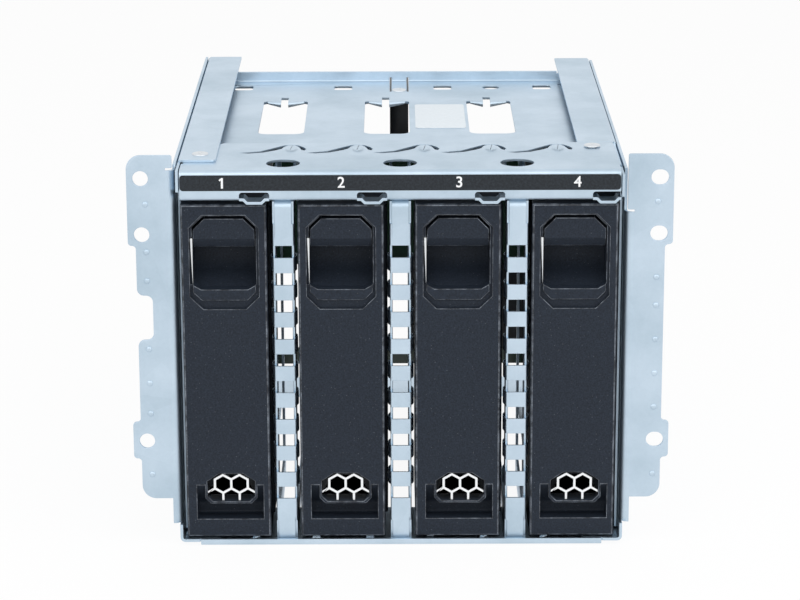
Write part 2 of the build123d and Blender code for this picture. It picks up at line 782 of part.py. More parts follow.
def make_blank():
    """Hollow moulded blank with the latch recess, the finger scoop and the vent."""
    front = blank_front
    back = front + blank_depth
    skin_back = front + blank_face
    inner = blank_half - blank_wall
    body = block(-blank_half, blank_half, front, back, blank_low, blank_high)
    body = chamfer(body.faces().sort_by(Axis.Y)[0].edges(), blank_chamfer)
    body -= block(-inner, inner, skin_back, back + 1, blank_low + blank_wall, blank_high - blank_wall)
    body += block(-inner, inner, skin_back, cavity_back + blank_wall, recess_low - blank_wall,
                  blank_high - blank_wall)
    return cut_finger_scoop(cut_latch_recess(body))


def hexagon(x, z, radius):
    """Hexagon that stands on a point."""
    turns = [radians(60 * k) for k in range(6)]
    return outline([(x - radius * sin(turn), z + radius * cos(turn), 0) for turn in turns])


def make_grille():
    """Steel honeycomb in the vent: two cells above three, with no frame round them."""
    cells = [(vent_shift + i * hex_pitch, hex_row_low) for i in (-1, 0, 1)]
    cells += [(vent_shift + i * hex_pitch, hex_row_high) for i in (-0.5, 0.5)]
    y0 = blank_front + grille_skin
    y1 = y0 + grille_thickness
    webs = None
    for x, z in cells:
        rim = along_y(hexagon(x, z, hex_rim_radius), y0, y1)
        webs = rim if webs is None else webs + rim
    for x, z in cells:
        webs -= along_y(hexagon(x, z, hex_radius), y0 - 1, y1 + 1)
    return webs & along_y(vent_outline(-grille_fit), y0, y1)


def make_latch():
    """Release latch: a chamfered paddle with a sloping underside and the catch beside it."""
    front = blank_front + paddle_front
    back = front + paddle_depth
    side = cavity_half - latch_play
    shoulder = recess_chamfer - cavity_margin
    under = paddle_low - paddle_slope
    face = outline([(-side, under, 0), (side, under, 0), (side, paddle_high - shoulder, 0),
                    (side - shoulder, paddle_high, 0), (-side + shoulder, paddle_high, 0),
                    (-side, paddle_high - shoulder, 0)])
    profile = outline([(front, paddle_high, 0), (front, paddle_low, paddle_ease),
                       (front + paddle_nose, under, 0), (back, under, 0), (back, paddle_high, 0)])
    latch = along_y(face, front, back) & along_x(profile, -side, side)
    middle = trough_offset - blank_shift
    catch_front = return_depth + 2 * latch_play
    high = trough_low - catch_gap
    left, right = middle - catch_width / 2, middle + catch_width / 2
    catch = [(left, paddle_low, 0), (right, paddle_low, 0),
             (right, high, catch_corner), (left, high, catch_corner)]
    return latch + along_y(outline(catch), catch_front, catch_front + catch_depth)


def make_latch_spring():
    """Tapered steel leaf at the left of the recess that pushes the latch up."""
    low = cavity_low + cavity_corner_rise
    left = -recess_half + spring_inset
    right = left + spring_width
    middle = (left + right) / 2
    front = blank_front + recess_step + latch_play
    leaf = [(middle - spring_tip / 2, low, 0), (middle + spring_tip / 2, low, 0),
            (right, low + spring_length, 0), (left, low + spring_length, 0)]
    return along_y(outline(leaf), front, front + spring_thickness)


# Backplane

def make_board():
    half = board_half_width
    corners = [(-half, board_low, board_corner), (half, board_low, board_corner),
               (half, board_high, board_corner), (-half, board_high, board_corner)]
    board = along_y(outline(corners), board_front, board_back)
    for row in board_tab_rows:
        for x in (-screw_column, screw_column):
            board -= rod_y(screw_thread / 2 + screw_play, x, row, board_front - 1, board_back + 1)
    low = board_low + air_slot_rise
    high = low + air_slot_height
    for middle in divider_middles:
        left, right = middle - air_slot_width / 2, middle + air_slot_width / 2
        slot = [(left, low, air_slot_corner), (right, low, air_slot_corner),
                (right, high, air_slot_corner), (left, high, air_slot_corner)]
        board -= along_y(outline(slot), board_front - 1, board_back + 1)
    return board


def make_drive_socket(bay):
    """Socket that a drive plugs into, with the tongue that carries its contacts."""
    x0, x1 = bay - drive_socket_width / 2, bay + drive_socket_width / 2
    z0 = board_low + drive_socket_rise
    z1 = z0 + drive_socket_height
    y0 = board_front - drive_socket_depth
    half = drive_blade_width / 2
    shell = block(x0, x1, y0, board_front, z0, z1)
    shell -= block(x0 + drive_socket_wall, x1 - drive_socket_wall, y0 - 1, y0 + drive_slot_depth,
                   z0 + drive_socket_end, z1 - drive_socket_end)
    return shell + block(bay - half, bay + half, y0 + drive_blade_setback, board_front,
                         z0 + drive_blade_end, z1 - drive_blade_end)


def make_power_socket():
    """Power socket on the back of the board, with two rows of square cells."""
    wall = rear_socket_wall
    x0 = power_socket_middle - power_socket_width / 2
    z0, z1 = rear_socket_row - power_socket_height / 2, rear_socket_row + power_socket_height / 2
    back = board_back + rear_socket_depth
    socket = block(x0, x0 + power_socket_width, board_back, back, z0, z1)
    cell = (power_socket_width - wall) / power_pin_count
    for i in range(power_pin_count):
        left = x0 + wall + i * cell
        for low, high in ((z0 + wall, rear_socket_row - wall / 2), (rear_socket_row + wall / 2, z1 - wall)):
            socket -= block(left, left + cell - wall, board_back + power_socket_floor, back + 1, low, high)
    return socket


def make_data_socket():
    """Data socket on the back of the board, a shell round one flat blade."""
    wall = rear_socket_wall
    x0 = data_socket_middle - data_socket_width / 2
    x1 = x0 + data_socket_width
    z0, z1 = rear_socket_row - data_socket_height / 2, rear_socket_row + data_socket_height / 2
    back = board_back + rear_socket_depth
    socket = block(x0, x1, board_back, back, z0, z1)
    socket -= block(x0 + wall, x1 - wall, board_back + data_socket_floor, back + 1, z0 + wall, z1 - wall)
    return socket + block(x0 + data_blade_inset, x1 - data_blade_inset, board_back + wall, back - wall,
                          rear_socket_row - data_blade_width / 2, rear_socket_row + data_blade_width / 2)


def make_retainer():
    """Plastic retainer that hangs from the centre tab and grips the top edge of the backplane."""
    half = retainer_half_width
    low = board_high - retainer_grip
    front = board_front + board_thickness / 2 - retainer_depth / 2
    under = plate_under - retainer_arm
    body = block(-half, half, front, front + retainer_depth, low, under)
    body += block(-half, half, tab_rivet_back - retainer_lap, front + retainer_depth, under, plate_under)
    body -= block(-half - 1, half + 1, board_front - retainer_fit, board_back + retainer_fit,
                  low - 1, board_high + retainer_fit)
    return body - rod_z(rivet_shank / 2 + rivet_play, 0, tab_rivet_back, under - 1, plate_under + 1)


# Fasteners

def headed_pin(head, crown, head_height, shank, shank_length):
    """Rivet or screw whose tapered head stands on Z = 0 and whose shank hangs below it."""
    top = Cone(head / 2, crown / 2, head_height, align=(Align.CENTER, Align.CENTER, Align.MIN))
    return top + Cylinder(shank / 2, shank_length, align=(Align.CENTER, Align.CENTER, Align.MAX))


def rivet(shank_length):
    return headed_pin(rivet_head, rivet_crown, rivet_head_height, rivet_shank, shank_length)


def make_top_rivets():
    return [Pos(*left_rivet, cage_height) * rivet(2 * sheet),
            Pos(*right_rivet, strip_top) * rivet(2 * sheet),
            Pos(0, tab_rivet_back, plate_top) * rivet(sheet + retainer_arm)]


def make_side_rivets(side):
    length = 2 * sheet + wall_gap
    return [on_side(Pos(cage_half_width, back, row) * Rot(0, 90, 0) * rivet(length), side)
            for back, row in side_rivet_spots]


def make_board_screws():
    length = board_thickness + sheet + screw_end
    screw = headed_pin(screw_head, screw_crown, screw_head_height, screw_thread, length)
    return [Pos(x, board_front, row) * Rot(90, 0, 0) * screw
            for row in board_tab_rows for x in (-screw_column, screw_column)]


# All pieces by name

def make_parts():
    parts = {
        "side_plate_left": make_side_plate(-1),
        "side_plate_right": make_side_plate(1),
        "inner_wall_left": make_inner_wall(-1),
        "inner_wall_right": make_inner_wall(1),
        "front_strip": make_front_strip(),
        "top_plate": make_top_plate(),
        "bottom_tray": make_tray(),
        "number_label": make_number_label(),
        "paper_label": make_paper_label(),
        "backplane_board": make_board(),
        "power_socket": make_power_socket(),
        "data_socket": make_data_socket(),
        "board_retainer": make_retainer(),
        "board_screws": make_board_screws(),
        "top_rivets": make_top_rivets(),
        "side_rivets_left": make_side_rivets(-1),
        "side_rivets_right": make_side_rivets(1),
    }
    for number, middle in enumerate(divider_middles, 1):
        parts[f"divider_{number}"] = make_divider(middle)
    blank, latch, spring, grille = make_blank(), make_latch(), make_latch_spring(), make_grille()
    for number, bay in enumerate(bay_middles, 1):
        place = Pos(bay + blank_shift, 0, 0)
        parts[f"drive_socket_{number}"] = make_drive_socket(bay)
        parts[f"blank_body_{number}"] = place * blank
        parts[f"blank_latch_{number}"] = place * latch
        parts[f"latch_spring_{number}"] = place * spring
        parts[f"vent_grille_{number}"] = place * grille
    return parts


def main():
    os.makedirs("parts", exist_ok=True)
    centre = Pos(0, -middle_shift, 0)
    for name, solids in make_parts().items():
        if isinstance(solids, list):
            shape = Compound(children=[centre * solid for solid in solids])
        else:
            shape = centre * solids
        export_step(shape, f"parts/{name}.step")
        print(name, len(shape.solids()))


main()
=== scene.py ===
import json
import math

import bmesh
import bpy
from bpy.props import FloatProperty, FloatVectorProperty, IntProperty, PointerProperty
from mathutils import Matrix, Vector

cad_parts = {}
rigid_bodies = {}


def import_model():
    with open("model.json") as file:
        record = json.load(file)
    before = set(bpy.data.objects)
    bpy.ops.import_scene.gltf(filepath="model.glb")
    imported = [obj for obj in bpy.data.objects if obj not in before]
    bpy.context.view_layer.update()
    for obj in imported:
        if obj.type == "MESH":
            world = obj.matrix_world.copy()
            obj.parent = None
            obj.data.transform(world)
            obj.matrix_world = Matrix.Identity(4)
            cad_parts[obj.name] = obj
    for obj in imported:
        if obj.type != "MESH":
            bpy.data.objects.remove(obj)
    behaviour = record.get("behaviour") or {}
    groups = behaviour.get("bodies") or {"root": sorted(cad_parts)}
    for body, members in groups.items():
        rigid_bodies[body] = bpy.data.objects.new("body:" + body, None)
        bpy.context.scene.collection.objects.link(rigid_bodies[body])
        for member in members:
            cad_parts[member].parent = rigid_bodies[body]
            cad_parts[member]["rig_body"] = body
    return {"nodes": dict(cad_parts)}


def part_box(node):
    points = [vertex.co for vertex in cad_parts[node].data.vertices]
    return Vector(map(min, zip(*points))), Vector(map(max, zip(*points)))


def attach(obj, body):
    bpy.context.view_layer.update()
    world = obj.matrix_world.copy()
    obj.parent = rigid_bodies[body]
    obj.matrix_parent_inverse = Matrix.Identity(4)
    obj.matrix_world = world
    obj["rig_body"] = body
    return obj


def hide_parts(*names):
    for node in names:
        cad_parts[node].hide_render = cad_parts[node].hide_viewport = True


bl_info = {
    "name": "Hot swap drive cage",
    "version": (1, 0, 0),
    "blender": (4, 5, 0),
    "location": "View3D > Sidebar > Drive Cage",
    "description": "Dresses a sheet steel cage for four upright drives with its finishes and fine detail",
    "category": "Object",
}

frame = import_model()
MM = 0.001
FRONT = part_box("front_strip")[0].y      # the lip's face, from which all depths are measured

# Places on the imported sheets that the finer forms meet, in millimetres

PLATE_TOP = 117.6
WINDOW_MIDDLES = [-4.2 + i * 34.7 for i in (-1, 0, 1)]      # of the three windows in the top plate
WINDOW_HALF = 7.55
WINDOW_FRONT = 67.6
WINDOW_BACK = 118.0
FLANGE_FACE = 2.0       # behind the lip's face
SIDE_WALL_FACE = 69.7   # from the middle, where the heads of the side rivets sit
RIVET_HEAD = 2.6        # radius of a rivet's head
SCREW_HEAD = 2.8        # radius of a screw's head


def linear(hex_colour):
    """One sRGB hex colour as linear red, green, blue and alpha."""
    parts = [int(hex_colour[i:i + 2], 16) / 255 for i in (1, 3, 5)]
    return tuple(p / 12.92 if p <= 0.04045 else ((p + 0.055) / 1.055) ** 2.4 for p in parts) + (1.0,)


# Sizes and colours

class CageSheetMetal(bpy.types.PropertyGroup):
    """Sizes and colours of the sheet metal."""

    edge_break: FloatProperty(name="Edge break", description="Width of the broken edge of a sheet",
                              default=0.00012, unit="LENGTH", precision=5)
    spangle: FloatProperty(name="Spangle", description="Width of one zinc crystal",
                           default=0.011, unit="LENGTH", precision=4)
    zinc: FloatVectorProperty(name="Zinc", description="Colour of the galvanised sheet", subtype="COLOR",
                              size=4, default=linear("#cdddeb"), min=0, max=1)
    dull_zinc: FloatVectorProperty(name="Dull zinc", description="Colour of the patches that have dulled",
                                   subtype="COLOR", size=4, default=linear("#a9bdcb"), min=0, max=1)
    dimple: FloatProperty(name="Dimple", description="Width of a dimple in a mounting flange",
                          default=0.0019, unit="LENGTH", precision=4)


class CageBlanks(bpy.types.PropertyGroup):
    """Sizes and colours of the moulded blanks."""

    edge_break: FloatProperty(name="Edge break", description="Rounding of the moulded edges",
                              default=0.0002, unit="LENGTH", precision=5)
    plastic: FloatVectorProperty(name="Plastic", description="Colour of the moulded plastic", subtype="COLOR",
                                 size=4, default=linear("#1a2029"), min=0, max=1)
    grain: FloatProperty(name="Grain", description="Width of one pit, coarser than real so that it shows",
                         default=0.0005, unit="LENGTH", precision=5)
    grille: FloatVectorProperty(name="Grille", description="Colour of the plated honeycomb", subtype="COLOR",
                                size=4, default=linear("#f4f6f8"), min=0, max=1)


class CageLabels(bpy.types.PropertyGroup):
    """Sizes and colours of the two labels."""

    film: FloatVectorProperty(name="Film", description="Colour of the number label", subtype="COLOR", size=4,
                              default=linear("#141a20"), min=0, max=1)
    number_height: FloatProperty(name="Number height", description="Height of the bay numbers",
                                 default=0.0033, unit="LENGTH", precision=4)
    paper: FloatVectorProperty(name="Paper", description="Colour of the bare label", subtype="COLOR", size=4,
                               default=linear("#e2e9ee"), min=0, max=1)


class CageBackplane(bpy.types.PropertyGroup):
    """Sizes and colours of the backplane."""

    mask: FloatVectorProperty(name="Solder mask", description="Colour of the board", subtype="COLOR", size=4,
                              default=linear("#0a1c14"), min=0, max=1)
    contact_pitch: FloatProperty(name="Contact pitch", description="Distance between a socket's contacts",
                                 default=0.00127, unit="LENGTH", precision=5)
    contacts: IntProperty(name="Contacts", description="Contacts on each side of a socket's tongue",
                          default=22)


class CageStage(bpy.types.PropertyGroup):
    """Camera and light levels."""

    lens: FloatProperty(name="Lens", description="Focal length of the camera in millimetres",
                        default=130.02)
    lamp_level: FloatProperty(name="Lamp level", description="Strength of the soft lamps", default=1.0)
    paper: FloatVectorProperty(name="Floor", description="Colour of the studio paper", subtype="COLOR",
                               size=4, default=linear("#f4f4f4"), min=0, max=1)


# Places, nodes and pieces

def at(x, y, z):
    """A place in millimetres, with Y measured back from the lip's face, in the frame's metres."""
    return Vector((x * MM, FRONT + y * MM, z * MM))


def add_node(holder, kind, settings=None, links=None):
    """Add one node to a material or a world, set its properties and sockets, and link its inputs to other
    nodes' outputs."""
    tree = holder.node_tree
    node = tree.nodes.new(kind)
    for name, value in (settings or {}).items():
        if isinstance(name, str) and hasattr(node, name):
            setattr(node, name, value)
        else:
            node.inputs[name].default_value = value
    for name, (other, output) in (links or {}).items():
        tree.links.new(other.outputs[output], node.inputs[name])
    return node


def new_material(name):
    """A material with an empty node tree."""
    material = bpy.data.materials.new(name)
    material.use_nodes = True
    material.node_tree.nodes.clear()
    return material


def finish_material(material, shader):
    """Link the shader to the material's output."""
    add_node(material, "ShaderNodeOutputMaterial", links={"Surface": (shader, 0)})
    return material


def add_piece(name, mesh, material, body):
    """One object that rides on a body, with the given material where its mesh has none yet."""
    piece = bpy.data.objects.new(name, mesh)
    bpy.context.scene.collection.objects.link(piece)
    if not mesh.materials:
        mesh.materials.append(material)
    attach(piece, body)
    return piece


def even_normals(piece, angle):
    """Shade smoothly over the curved faces and keep the flat ones flat."""
    piece.data.shade_smooth()
    piece.data.set_sharp_from_angle(angle=math.radians(angle))
    modifier = piece.modifiers.new("even normals", "WEIGHTED_NORMAL")
    modifier.keep_sharp = True


def broken_edges(bm, width, steps, index):
    """Break every outer corner of the mesh. The narrow new faces take the material of that index."""
    least = math.radians(35)
    corners = [edge for edge in bm.edges
               if len(edge.link_faces) == 2 and edge.is_convex and edge.calc_face_angle() > least]
    bmesh.ops.bevel(bm, geom=corners, offset=width, offset_type="OFFSET", segments=steps, profile=0.5,
                    affect="EDGES", clamp_overlap=False, miter_outer="SHARP", material=index)
    bmesh.ops.dissolve_degenerate(bm, edges=bm.edges, dist=0.0005 * MM)


def finished_node(node, width, steps, material, rim=None, reshape=None):
    """A copy of a CAD node with broken edges, which stands for that node. Its edges can take a material of
    their own, such as a painted highlight, and a function can refine its shape first."""
    source = frame["nodes"][node]
    mesh = source.data.copy()
    mesh.materials.clear()
    mesh.materials.append(material)
    if rim:
        mesh.materials.append(rim)
    bm = bmesh.new()
    bm.from_mesh(mesh)
    bmesh.ops.remove_doubles(bm, verts=bm.verts, dist=0.002 * MM)
    bmesh.ops.dissolve_limit(bm, angle_limit=math.radians(1), verts=bm.verts, edges=bm.edges)
    if reshape:
        reshape(bm)
    broken_edges(bm, width, steps, 1 if rim else -1)
    bm.to_mesh(mesh)
    bm.free()
    piece = add_piece("finished_" + node, mesh, material, source["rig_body"])
    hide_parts(node)
    even_normals(piece, 40)
    return piece


def repeated_node(node, other, piece):
    """A copy of the finished piece of one bay, moved to the same node of another bay, which it stands for."""
    mesh = piece.data.copy()
    mesh.transform(Matrix.Translation(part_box(node)[0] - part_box(other)[0]))
    body = frame["nodes"][node]["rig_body"]
    repeat = add_piece("finished_" + node, mesh, mesh.materials[0], body)
    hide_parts(node)
    even_normals(repeat, 40)


def add_block(bm, low, high, width, steps=2):
    """A block between two places, with rounded edges."""
    low, high = Vector(low), Vector(high)
    size = high - low
    matrix = Matrix.Translation((low + high) / 2) @ Matrix.Diagonal((*size, 1))
    made = bmesh.ops.create_cube(bm, size=1, matrix=matrix)
    edges = {edge for vert in made["verts"] for edge in vert.link_edges}
    bmesh.ops.bevel(bm, geom=list(edges), offset=width, segments=steps, profile=0.5, affect="EDGES",
                    clamp_overlap=True)


def add_centred_block(bm, middle, size, width, steps=2):
    """A block about a middle, with its size and the width of its rounded edges in millimetres."""
    half = Vector(size) * MM / 2
    add_block(bm, middle - half, middle + half, width * MM, steps)


def add_turned(bm, profile, matrix, steps=32):
    """A closed turned body from (radius, height) points in millimetres, whose ends lie on the axis."""
    rings = []
    for radius, height in profile:
        if radius == 0:
            rings.append([bm.verts.new(matrix @ Vector((0, 0, height * MM)))])
        else:
            turns = [2 * math.pi * i / steps for i in range(steps)]
            rings.append([bm.verts.new(matrix @ Vector((radius * math.cos(turn) * MM,
                                                        radius * math.sin(turn) * MM, height * MM)))
                          for turn in turns])
    for lower, upper in zip(rings, rings[1:]):
        for i in range(steps):
            j = (i + 1) % steps
            if len(lower) == 1:
                bm.faces.new((lower[0], upper[j], upper[i]))
            elif len(upper) == 1:
                bm.faces.new((lower[i], lower[j], upper[0]))
            else:
                bm.faces.new((lower[i], lower[j], upper[j], upper[i]))


def ribbon(points, width):
    """The closed outline of a stroke of even width along some points in a plane."""
    points = [Vector(point) for point in points]
    left, right = [], []
    for i, point in enumerate(points):
        before = (point - points[i - 1] if i else points[1] - point).normalized()
        after = (points[i + 1] - point if i + 1 < len(points) else point - points[i - 1]).normalized()
        across = Vector((-before.y - after.y, before.x + after.x)).normalized()
        reach = width / 2 / across.dot(Vector((-before.y, before.x)))
        left.append(point + across * reach)
        right.append(point - across * reach)
    return left + right[::-1]


def add_prism(bm, outline, depth, matrix):
    """A closed outline in millimetres, raised to a depth along the matrix's third axis."""
    low = [bm.verts.new(matrix @ Vector((x * MM, y * MM, 0))) for x, y in outline]
    high = [bm.verts.new(matrix @ Vector((x * MM, y * MM, depth * MM))) for x, y in outline]
    bm.faces.new(low[::-1])
    bm.faces.new(high)
    for i in range(len(low)):
        j = (i + 1) % len(low)
        bm.faces.new((low[i], low[j], high[j], high[i]))


def mesh_from(bm, name):
    """A mesh from the built faces, which then face outward."""
    bmesh.ops.recalc_face_normals(bm, faces=bm.faces)
    mesh = bpy.data.meshes.new(name)
    bm.to_mesh(mesh)
    bm.free()
    return mesh


# Materials

def add_pattern(material, kind, width, settings=None):
    """A texture on the piece's own coordinates, whose cells are as wide as given."""
    place = add_node(material, "ShaderNodeTexCoord")
    return add_node(material, kind, {"Scale": 1 / width, **(settings or {})}, {"Vector": (place, "Object")})


def add_noise(material, width, settings):
    """A cloudy pattern with spots of about the given width."""
    return add_pattern(material, "ShaderNodeTexNoise", width, settings)


def add_range(material, source, settings):
    """A number that follows another node's output between two limits."""
    return add_node(material, "ShaderNodeMapRange", settings, {"Value": source})


def add_blend(material, first, second, share):
    """A colour between two others, by another node's output."""
    return add_node(material, "ShaderNodeMix", {"data_type": "RGBA", 6: first, 7: second}, {0: share})


def add_bump(material, source, strength, depth):
    """A relief as deep as given, which follows a pattern."""
    return add_node(material, "ShaderNodeBump", {"Strength": strength, "Distance": depth},
                    {"Height": (source, "Fac")})


def galvanised_steel(settings):
    """Hot-dip galvanised steel sheet: a bright, slightly blue metal with faint crystals, dulled patches and
    fine rolling marks, so that its soft reflections break up a little from place to place."""
    cloud = 30 * MM
    mark = 0.9 * MM         # several times as coarse as real rolling marks, so that they show
    material = new_material("galvanised steel sheet")
    clouds = add_noise(material, cloud, {"Detail": 5.0, "Roughness": 0.62})
    crystals = add_pattern(material, "ShaderNodeTexVoronoi", settings.spangle)
    tone = add_node(material, "ShaderNodeSeparateColor", links={0: (crystals, "Color")})
    patches = add_range(material, (clouds, "Fac"), {"From Min": 0.38, "From Max": 0.68})
    grain = add_noise(material, mark, {"Detail": 3.0, "Roughness": 0.7})
    fade = add_node(material, "ShaderNodeMath", {"operation": "MULTIPLY_ADD", 1: 0.22},
                    {0: (tone, 0), 2: (patches, 0)})
    flecks = add_node(material, "ShaderNodeMath", {"operation": "MULTIPLY_ADD", 1: 0.5},
                      {0: (grain, "Fac"), 2: (fade, 0)})
    share = add_node(material, "ShaderNodeMath", {"operation": "MULTIPLY", 1: 0.5, "use_clamp": True},
                     {0: (flecks, 0)})
    colour = add_blend(material, settings.zinc, settings.dull_zinc, (share, 0))
    gloss = add_range(material, (clouds, "Fac"), {"To Min": 0.32, "To Max": 0.5})
    bump = add_bump(material, grain, 0.3, 0.02 * MM)
    steel = add_node(material, "ShaderNodeBsdfPrincipled", {"Metallic": 1.0},
                     {"Base Color": (colour, 2), "Roughness": (gloss, 0), "Normal": (bump, 0)})
    return finish_material(material, steel)


def bright_metal(name, colour):
    """Smooth plated, tinned or rolled metal: clean and pale, with a soft gloss that shows each edge as a
    light line."""
    mark = 1.5 * MM         # coarser than real polishing marks, so that they show
    material = new_material(name)
    marks = add_noise(material, mark, {"Detail": 3.0})
    gloss = add_range(material, (marks, "Fac"), {"To Min": 0.24, "To Max": 0.38})
    bump = add_bump(material, marks, 0.2, 0.015 * MM)
    steel = add_node(material, "ShaderNodeBsdfPrincipled", {"Metallic": 1.0, "Base Color": colour},
                     {"Roughness": (gloss, 0), "Normal": (bump, 0)})
    return finish_material(material, steel)


def charcoal_plastic(settings):
    """Moulded ABS from a spark-eroded tool: a dark, nearly matt blue-grey whose fine pits scatter the light,
    with a sprinkling of pale dust."""
    dust_spacing = 1.2 * MM
    material = new_material("charcoal moulded ABS")
    pits = add_noise(material, settings.grain, {"Detail": 2.0})
    shade = add_range(material, (pits, "Fac"), {"From Min": 0.3, "From Max": 0.7})
    dust = add_pattern(material, "ShaderNodeTexVoronoi", dust_spacing)
    draw = add_node(material, "ShaderNodeSeparateColor", links={0: (dust, "Color")})
    speck = add_range(material, (dust, "Distance"), {"From Min": 0.14, "From Max": 0.08})
    kept = add_node(material, "ShaderNodeMath", {"operation": "MULTIPLY"}, {0: (speck, 0), 1: (draw, 0)})
    share = add_node(material, "ShaderNodeMath", {"operation": "MULTIPLY", 1: 0.16, "use_clamp": True},
                     {0: (kept, 0)})
    base = add_blend(material, settings.plastic, linear("#272f3b"), (shade, 0))
    colour = add_node(material, "ShaderNodeMix", {"data_type": "RGBA", 7: linear("#b4b8c0")},
                      {0: (share, 0), 6: (base, 2)})
    gloss = add_range(material, (pits, "Fac"), {"To Min": 0.5, "To Max": 0.66})
    bump = add_bump(material, pits, 0.45, 0.04 * MM)
    shader = add_node(material, "ShaderNodeBsdfPrincipled", {"IOR": 1.53, "Specular IOR Level": 0.2},
                      {"Base Color": (colour, 2), "Roughness": (gloss, 0), "Normal": (bump, 0)})
    return finish_material(material, shader)


def rubbed_plastic():
    """The same ABS on the narrow faces of the broken edges, paler and smoother in broken lines: a painted
    highlight in place of the light that rounded edges catch.
    """
    patch = 4 * MM
    material = new_material("ABS with painted edge highlights")
    highlight_patches = add_noise(material, patch, {"Detail": 5.0, "Roughness": 0.75})
    share = add_range(material, (highlight_patches, "Fac"), {"From Min": 0.42, "From Max": 0.66})
    # painted highlight: the edge faces go from dark plastic to pale grey in patches
    colour = add_blend(material, linear("#161b23"), linear("#7d8590"), (share, 0))
    shader = add_node(material, "ShaderNodeBsdfPrincipled", {"IOR": 1.53, "Roughness": 0.38},
                      {"Base Color": (colour, 2)})
    return finish_material(material, shader)


def black_nylon():
    """Moulded glass-filled nylon of the sockets and the retainer: black, with a faint flow pattern and a soft
    gloss."""
    streak = 3 * MM
    material = new_material("black glass-filled nylon")
    flow = add_noise(material, streak, {"Detail": 3.0, "Distortion": 1.5})
    colour = add_blend(material, linear("#1c1e21"), linear("#2a2d31"), (flow, "Fac"))
    bump = add_bump(material, flow, 0.2, 0.02 * MM)
    shader = add_node(material, "ShaderNodeBsdfPrincipled", {"IOR": 1.53, "Roughness": 0.4},
                      {"Base Color": (colour, 2), "Normal": (bump, 0)})
    return finish_material(material, shader)


def label_film(settings):
    """Satin polyester label film, printed dark grey: smooth and a little glossier than the plastic, with a
    faint orange-peel from the adhesive below."""
    ripple = 0.7 * MM       # coarser than the real orange-peel, so that it shows
    material = new_material("satin polyester film")
    peel = add_noise(material, ripple, {"Detail": 3.0, "Roughness": 0.7})
    share = add_range(material, (peel, "Fac"), {"From Min": 0.4, "From Max": 0.75})
    colour = add_blend(material, settings.film, linear("#2b323a"), (share, 0))
    bump = add_bump(material, peel, 0.15, 0.02 * MM)
    shader = add_node(material, "ShaderNodeBsdfPrincipled",
                      {"IOR": 1.57, "Specular IOR Level": 0.28, "Roughness": 0.4},
                      {"Base Color": (colour, 2), "Normal": (bump, 0)})
    return finish_material(material, shader)


def screen_ink():
    """White screen-printing ink: an even opaque white that is slightly raised."""
    thread = 0.4 * MM       # coarser than the real screen, so that it shows
    material = new_material("white screen ink")
    screen = add_noise(material, thread, {"Detail": 1.0})
    colour = add_blend(material, linear("#f6f7f8"), linear("#e4e6e9"), (screen, "Fac"))
    shader = add_node(material, "ShaderNodeBsdfPrincipled", {"IOR": 1.5, "Roughness": 0.5},
                      {"Base Color": (colour, 2)})
    return finish_material(material, shader)


def label_paper(settings):
    """Coated label paper: a plain white sheet whose fibres cloud it very faintly."""
    fibre = 1.2 * MM
    material = new_material("coated label paper")
    fibres = add_noise(material, fibre, {"Detail": 4.0, "Distortion": 0.8})
    colour = add_blend(material, settings.paper, linear("#d2dae0"), (fibres, "Fac"))
    bump = add_bump(material, fibres, 0.15, 0.02 * MM)
    shader = add_node(material, "ShaderNodeBsdfPrincipled", {"IOR": 1.5, "Roughness": 0.6},
                      {"Base Color": (colour, 2), "Normal": (bump, 0)})
    return finish_material(material, shader)


def solder_mask(settings):
    """Green solder mask over copper on glass-epoxy: the traces show as slightly lighter raised bands under a
    glossy coat."""
    bundle = 4 * MM
    material = new_material("green solder mask")
    traces = add_pattern(material, "ShaderNodeTexBrick", bundle,
                         {"Mortar Size": 0.05, "Color1": settings.mask, "Color2": linear("#0d2419"),
                          "Mortar": linear("#163a28"), "offset": 0.35})
    bump = add_bump(material, traces, 0.3, 0.03 * MM)
    shader = add_node(material, "ShaderNodeBsdfPrincipled", {"IOR": 1.55, "Roughness": 0.25},
                      {"Base Color": (traces, 0), "Normal": (bump, 0)})
    return finish_material(material, shader)


def gold_plating():
    """Thin gold plating on copper alloy contacts: a warm bright metal with a fine wiping grain."""
    wipe = 0.6 * MM
    material = new_material("gold plated contacts")
    grain = add_noise(material, wipe, {"Detail": 2.0})
    gloss = add_range(material, (grain, "Fac"), {"To Min": 0.22, "To Max": 0.34})
    shader = add_node(material, "ShaderNodeBsdfPrincipled",
                      {"Metallic": 1.0, "Base Color": linear("#e3bd62")}, {"Roughness": (gloss, 0)})
    return finish_material(material, shader)


# Pieces

def shape_tongues(bm):
    """Let the tongues at the back edges of the top plate's windows taper away from the notch between them."""
    notch_shift = 0.5       # from the middle of a window
    notch_half = 1.25
    tongue_length = 4.4
    tongue_reach = 1.25     # forward from the back edge
    kept_reach = 0.6        # share of the reach that is left
    tip, root = 0.35, 0.85  # shares of the droop that are left at the two ends
    back = at(0, WINDOW_BACK, 0).y
    top = at(0, 0, PLATE_TOP).z
    for middle in WINDOW_MIDDLES:
        notch = (middle - notch_shift) * MM
        for vert in bm.verts:
            inside = abs(vert.co.x - middle * MM) < (WINDOW_HALF - 0.2) * MM
            if inside and back - tongue_reach * MM < vert.co.y < back - 0.03 * MM:
                along = (abs(vert.co.x - notch) / MM - notch_half) / tongue_length
                share = 1 - min(max(along, 0), 1)
                vert.co.y = back - (back - vert.co.y) * kept_reach
                vert.co.z = top - (top - vert.co.z) * (tip + (root - tip) * share)


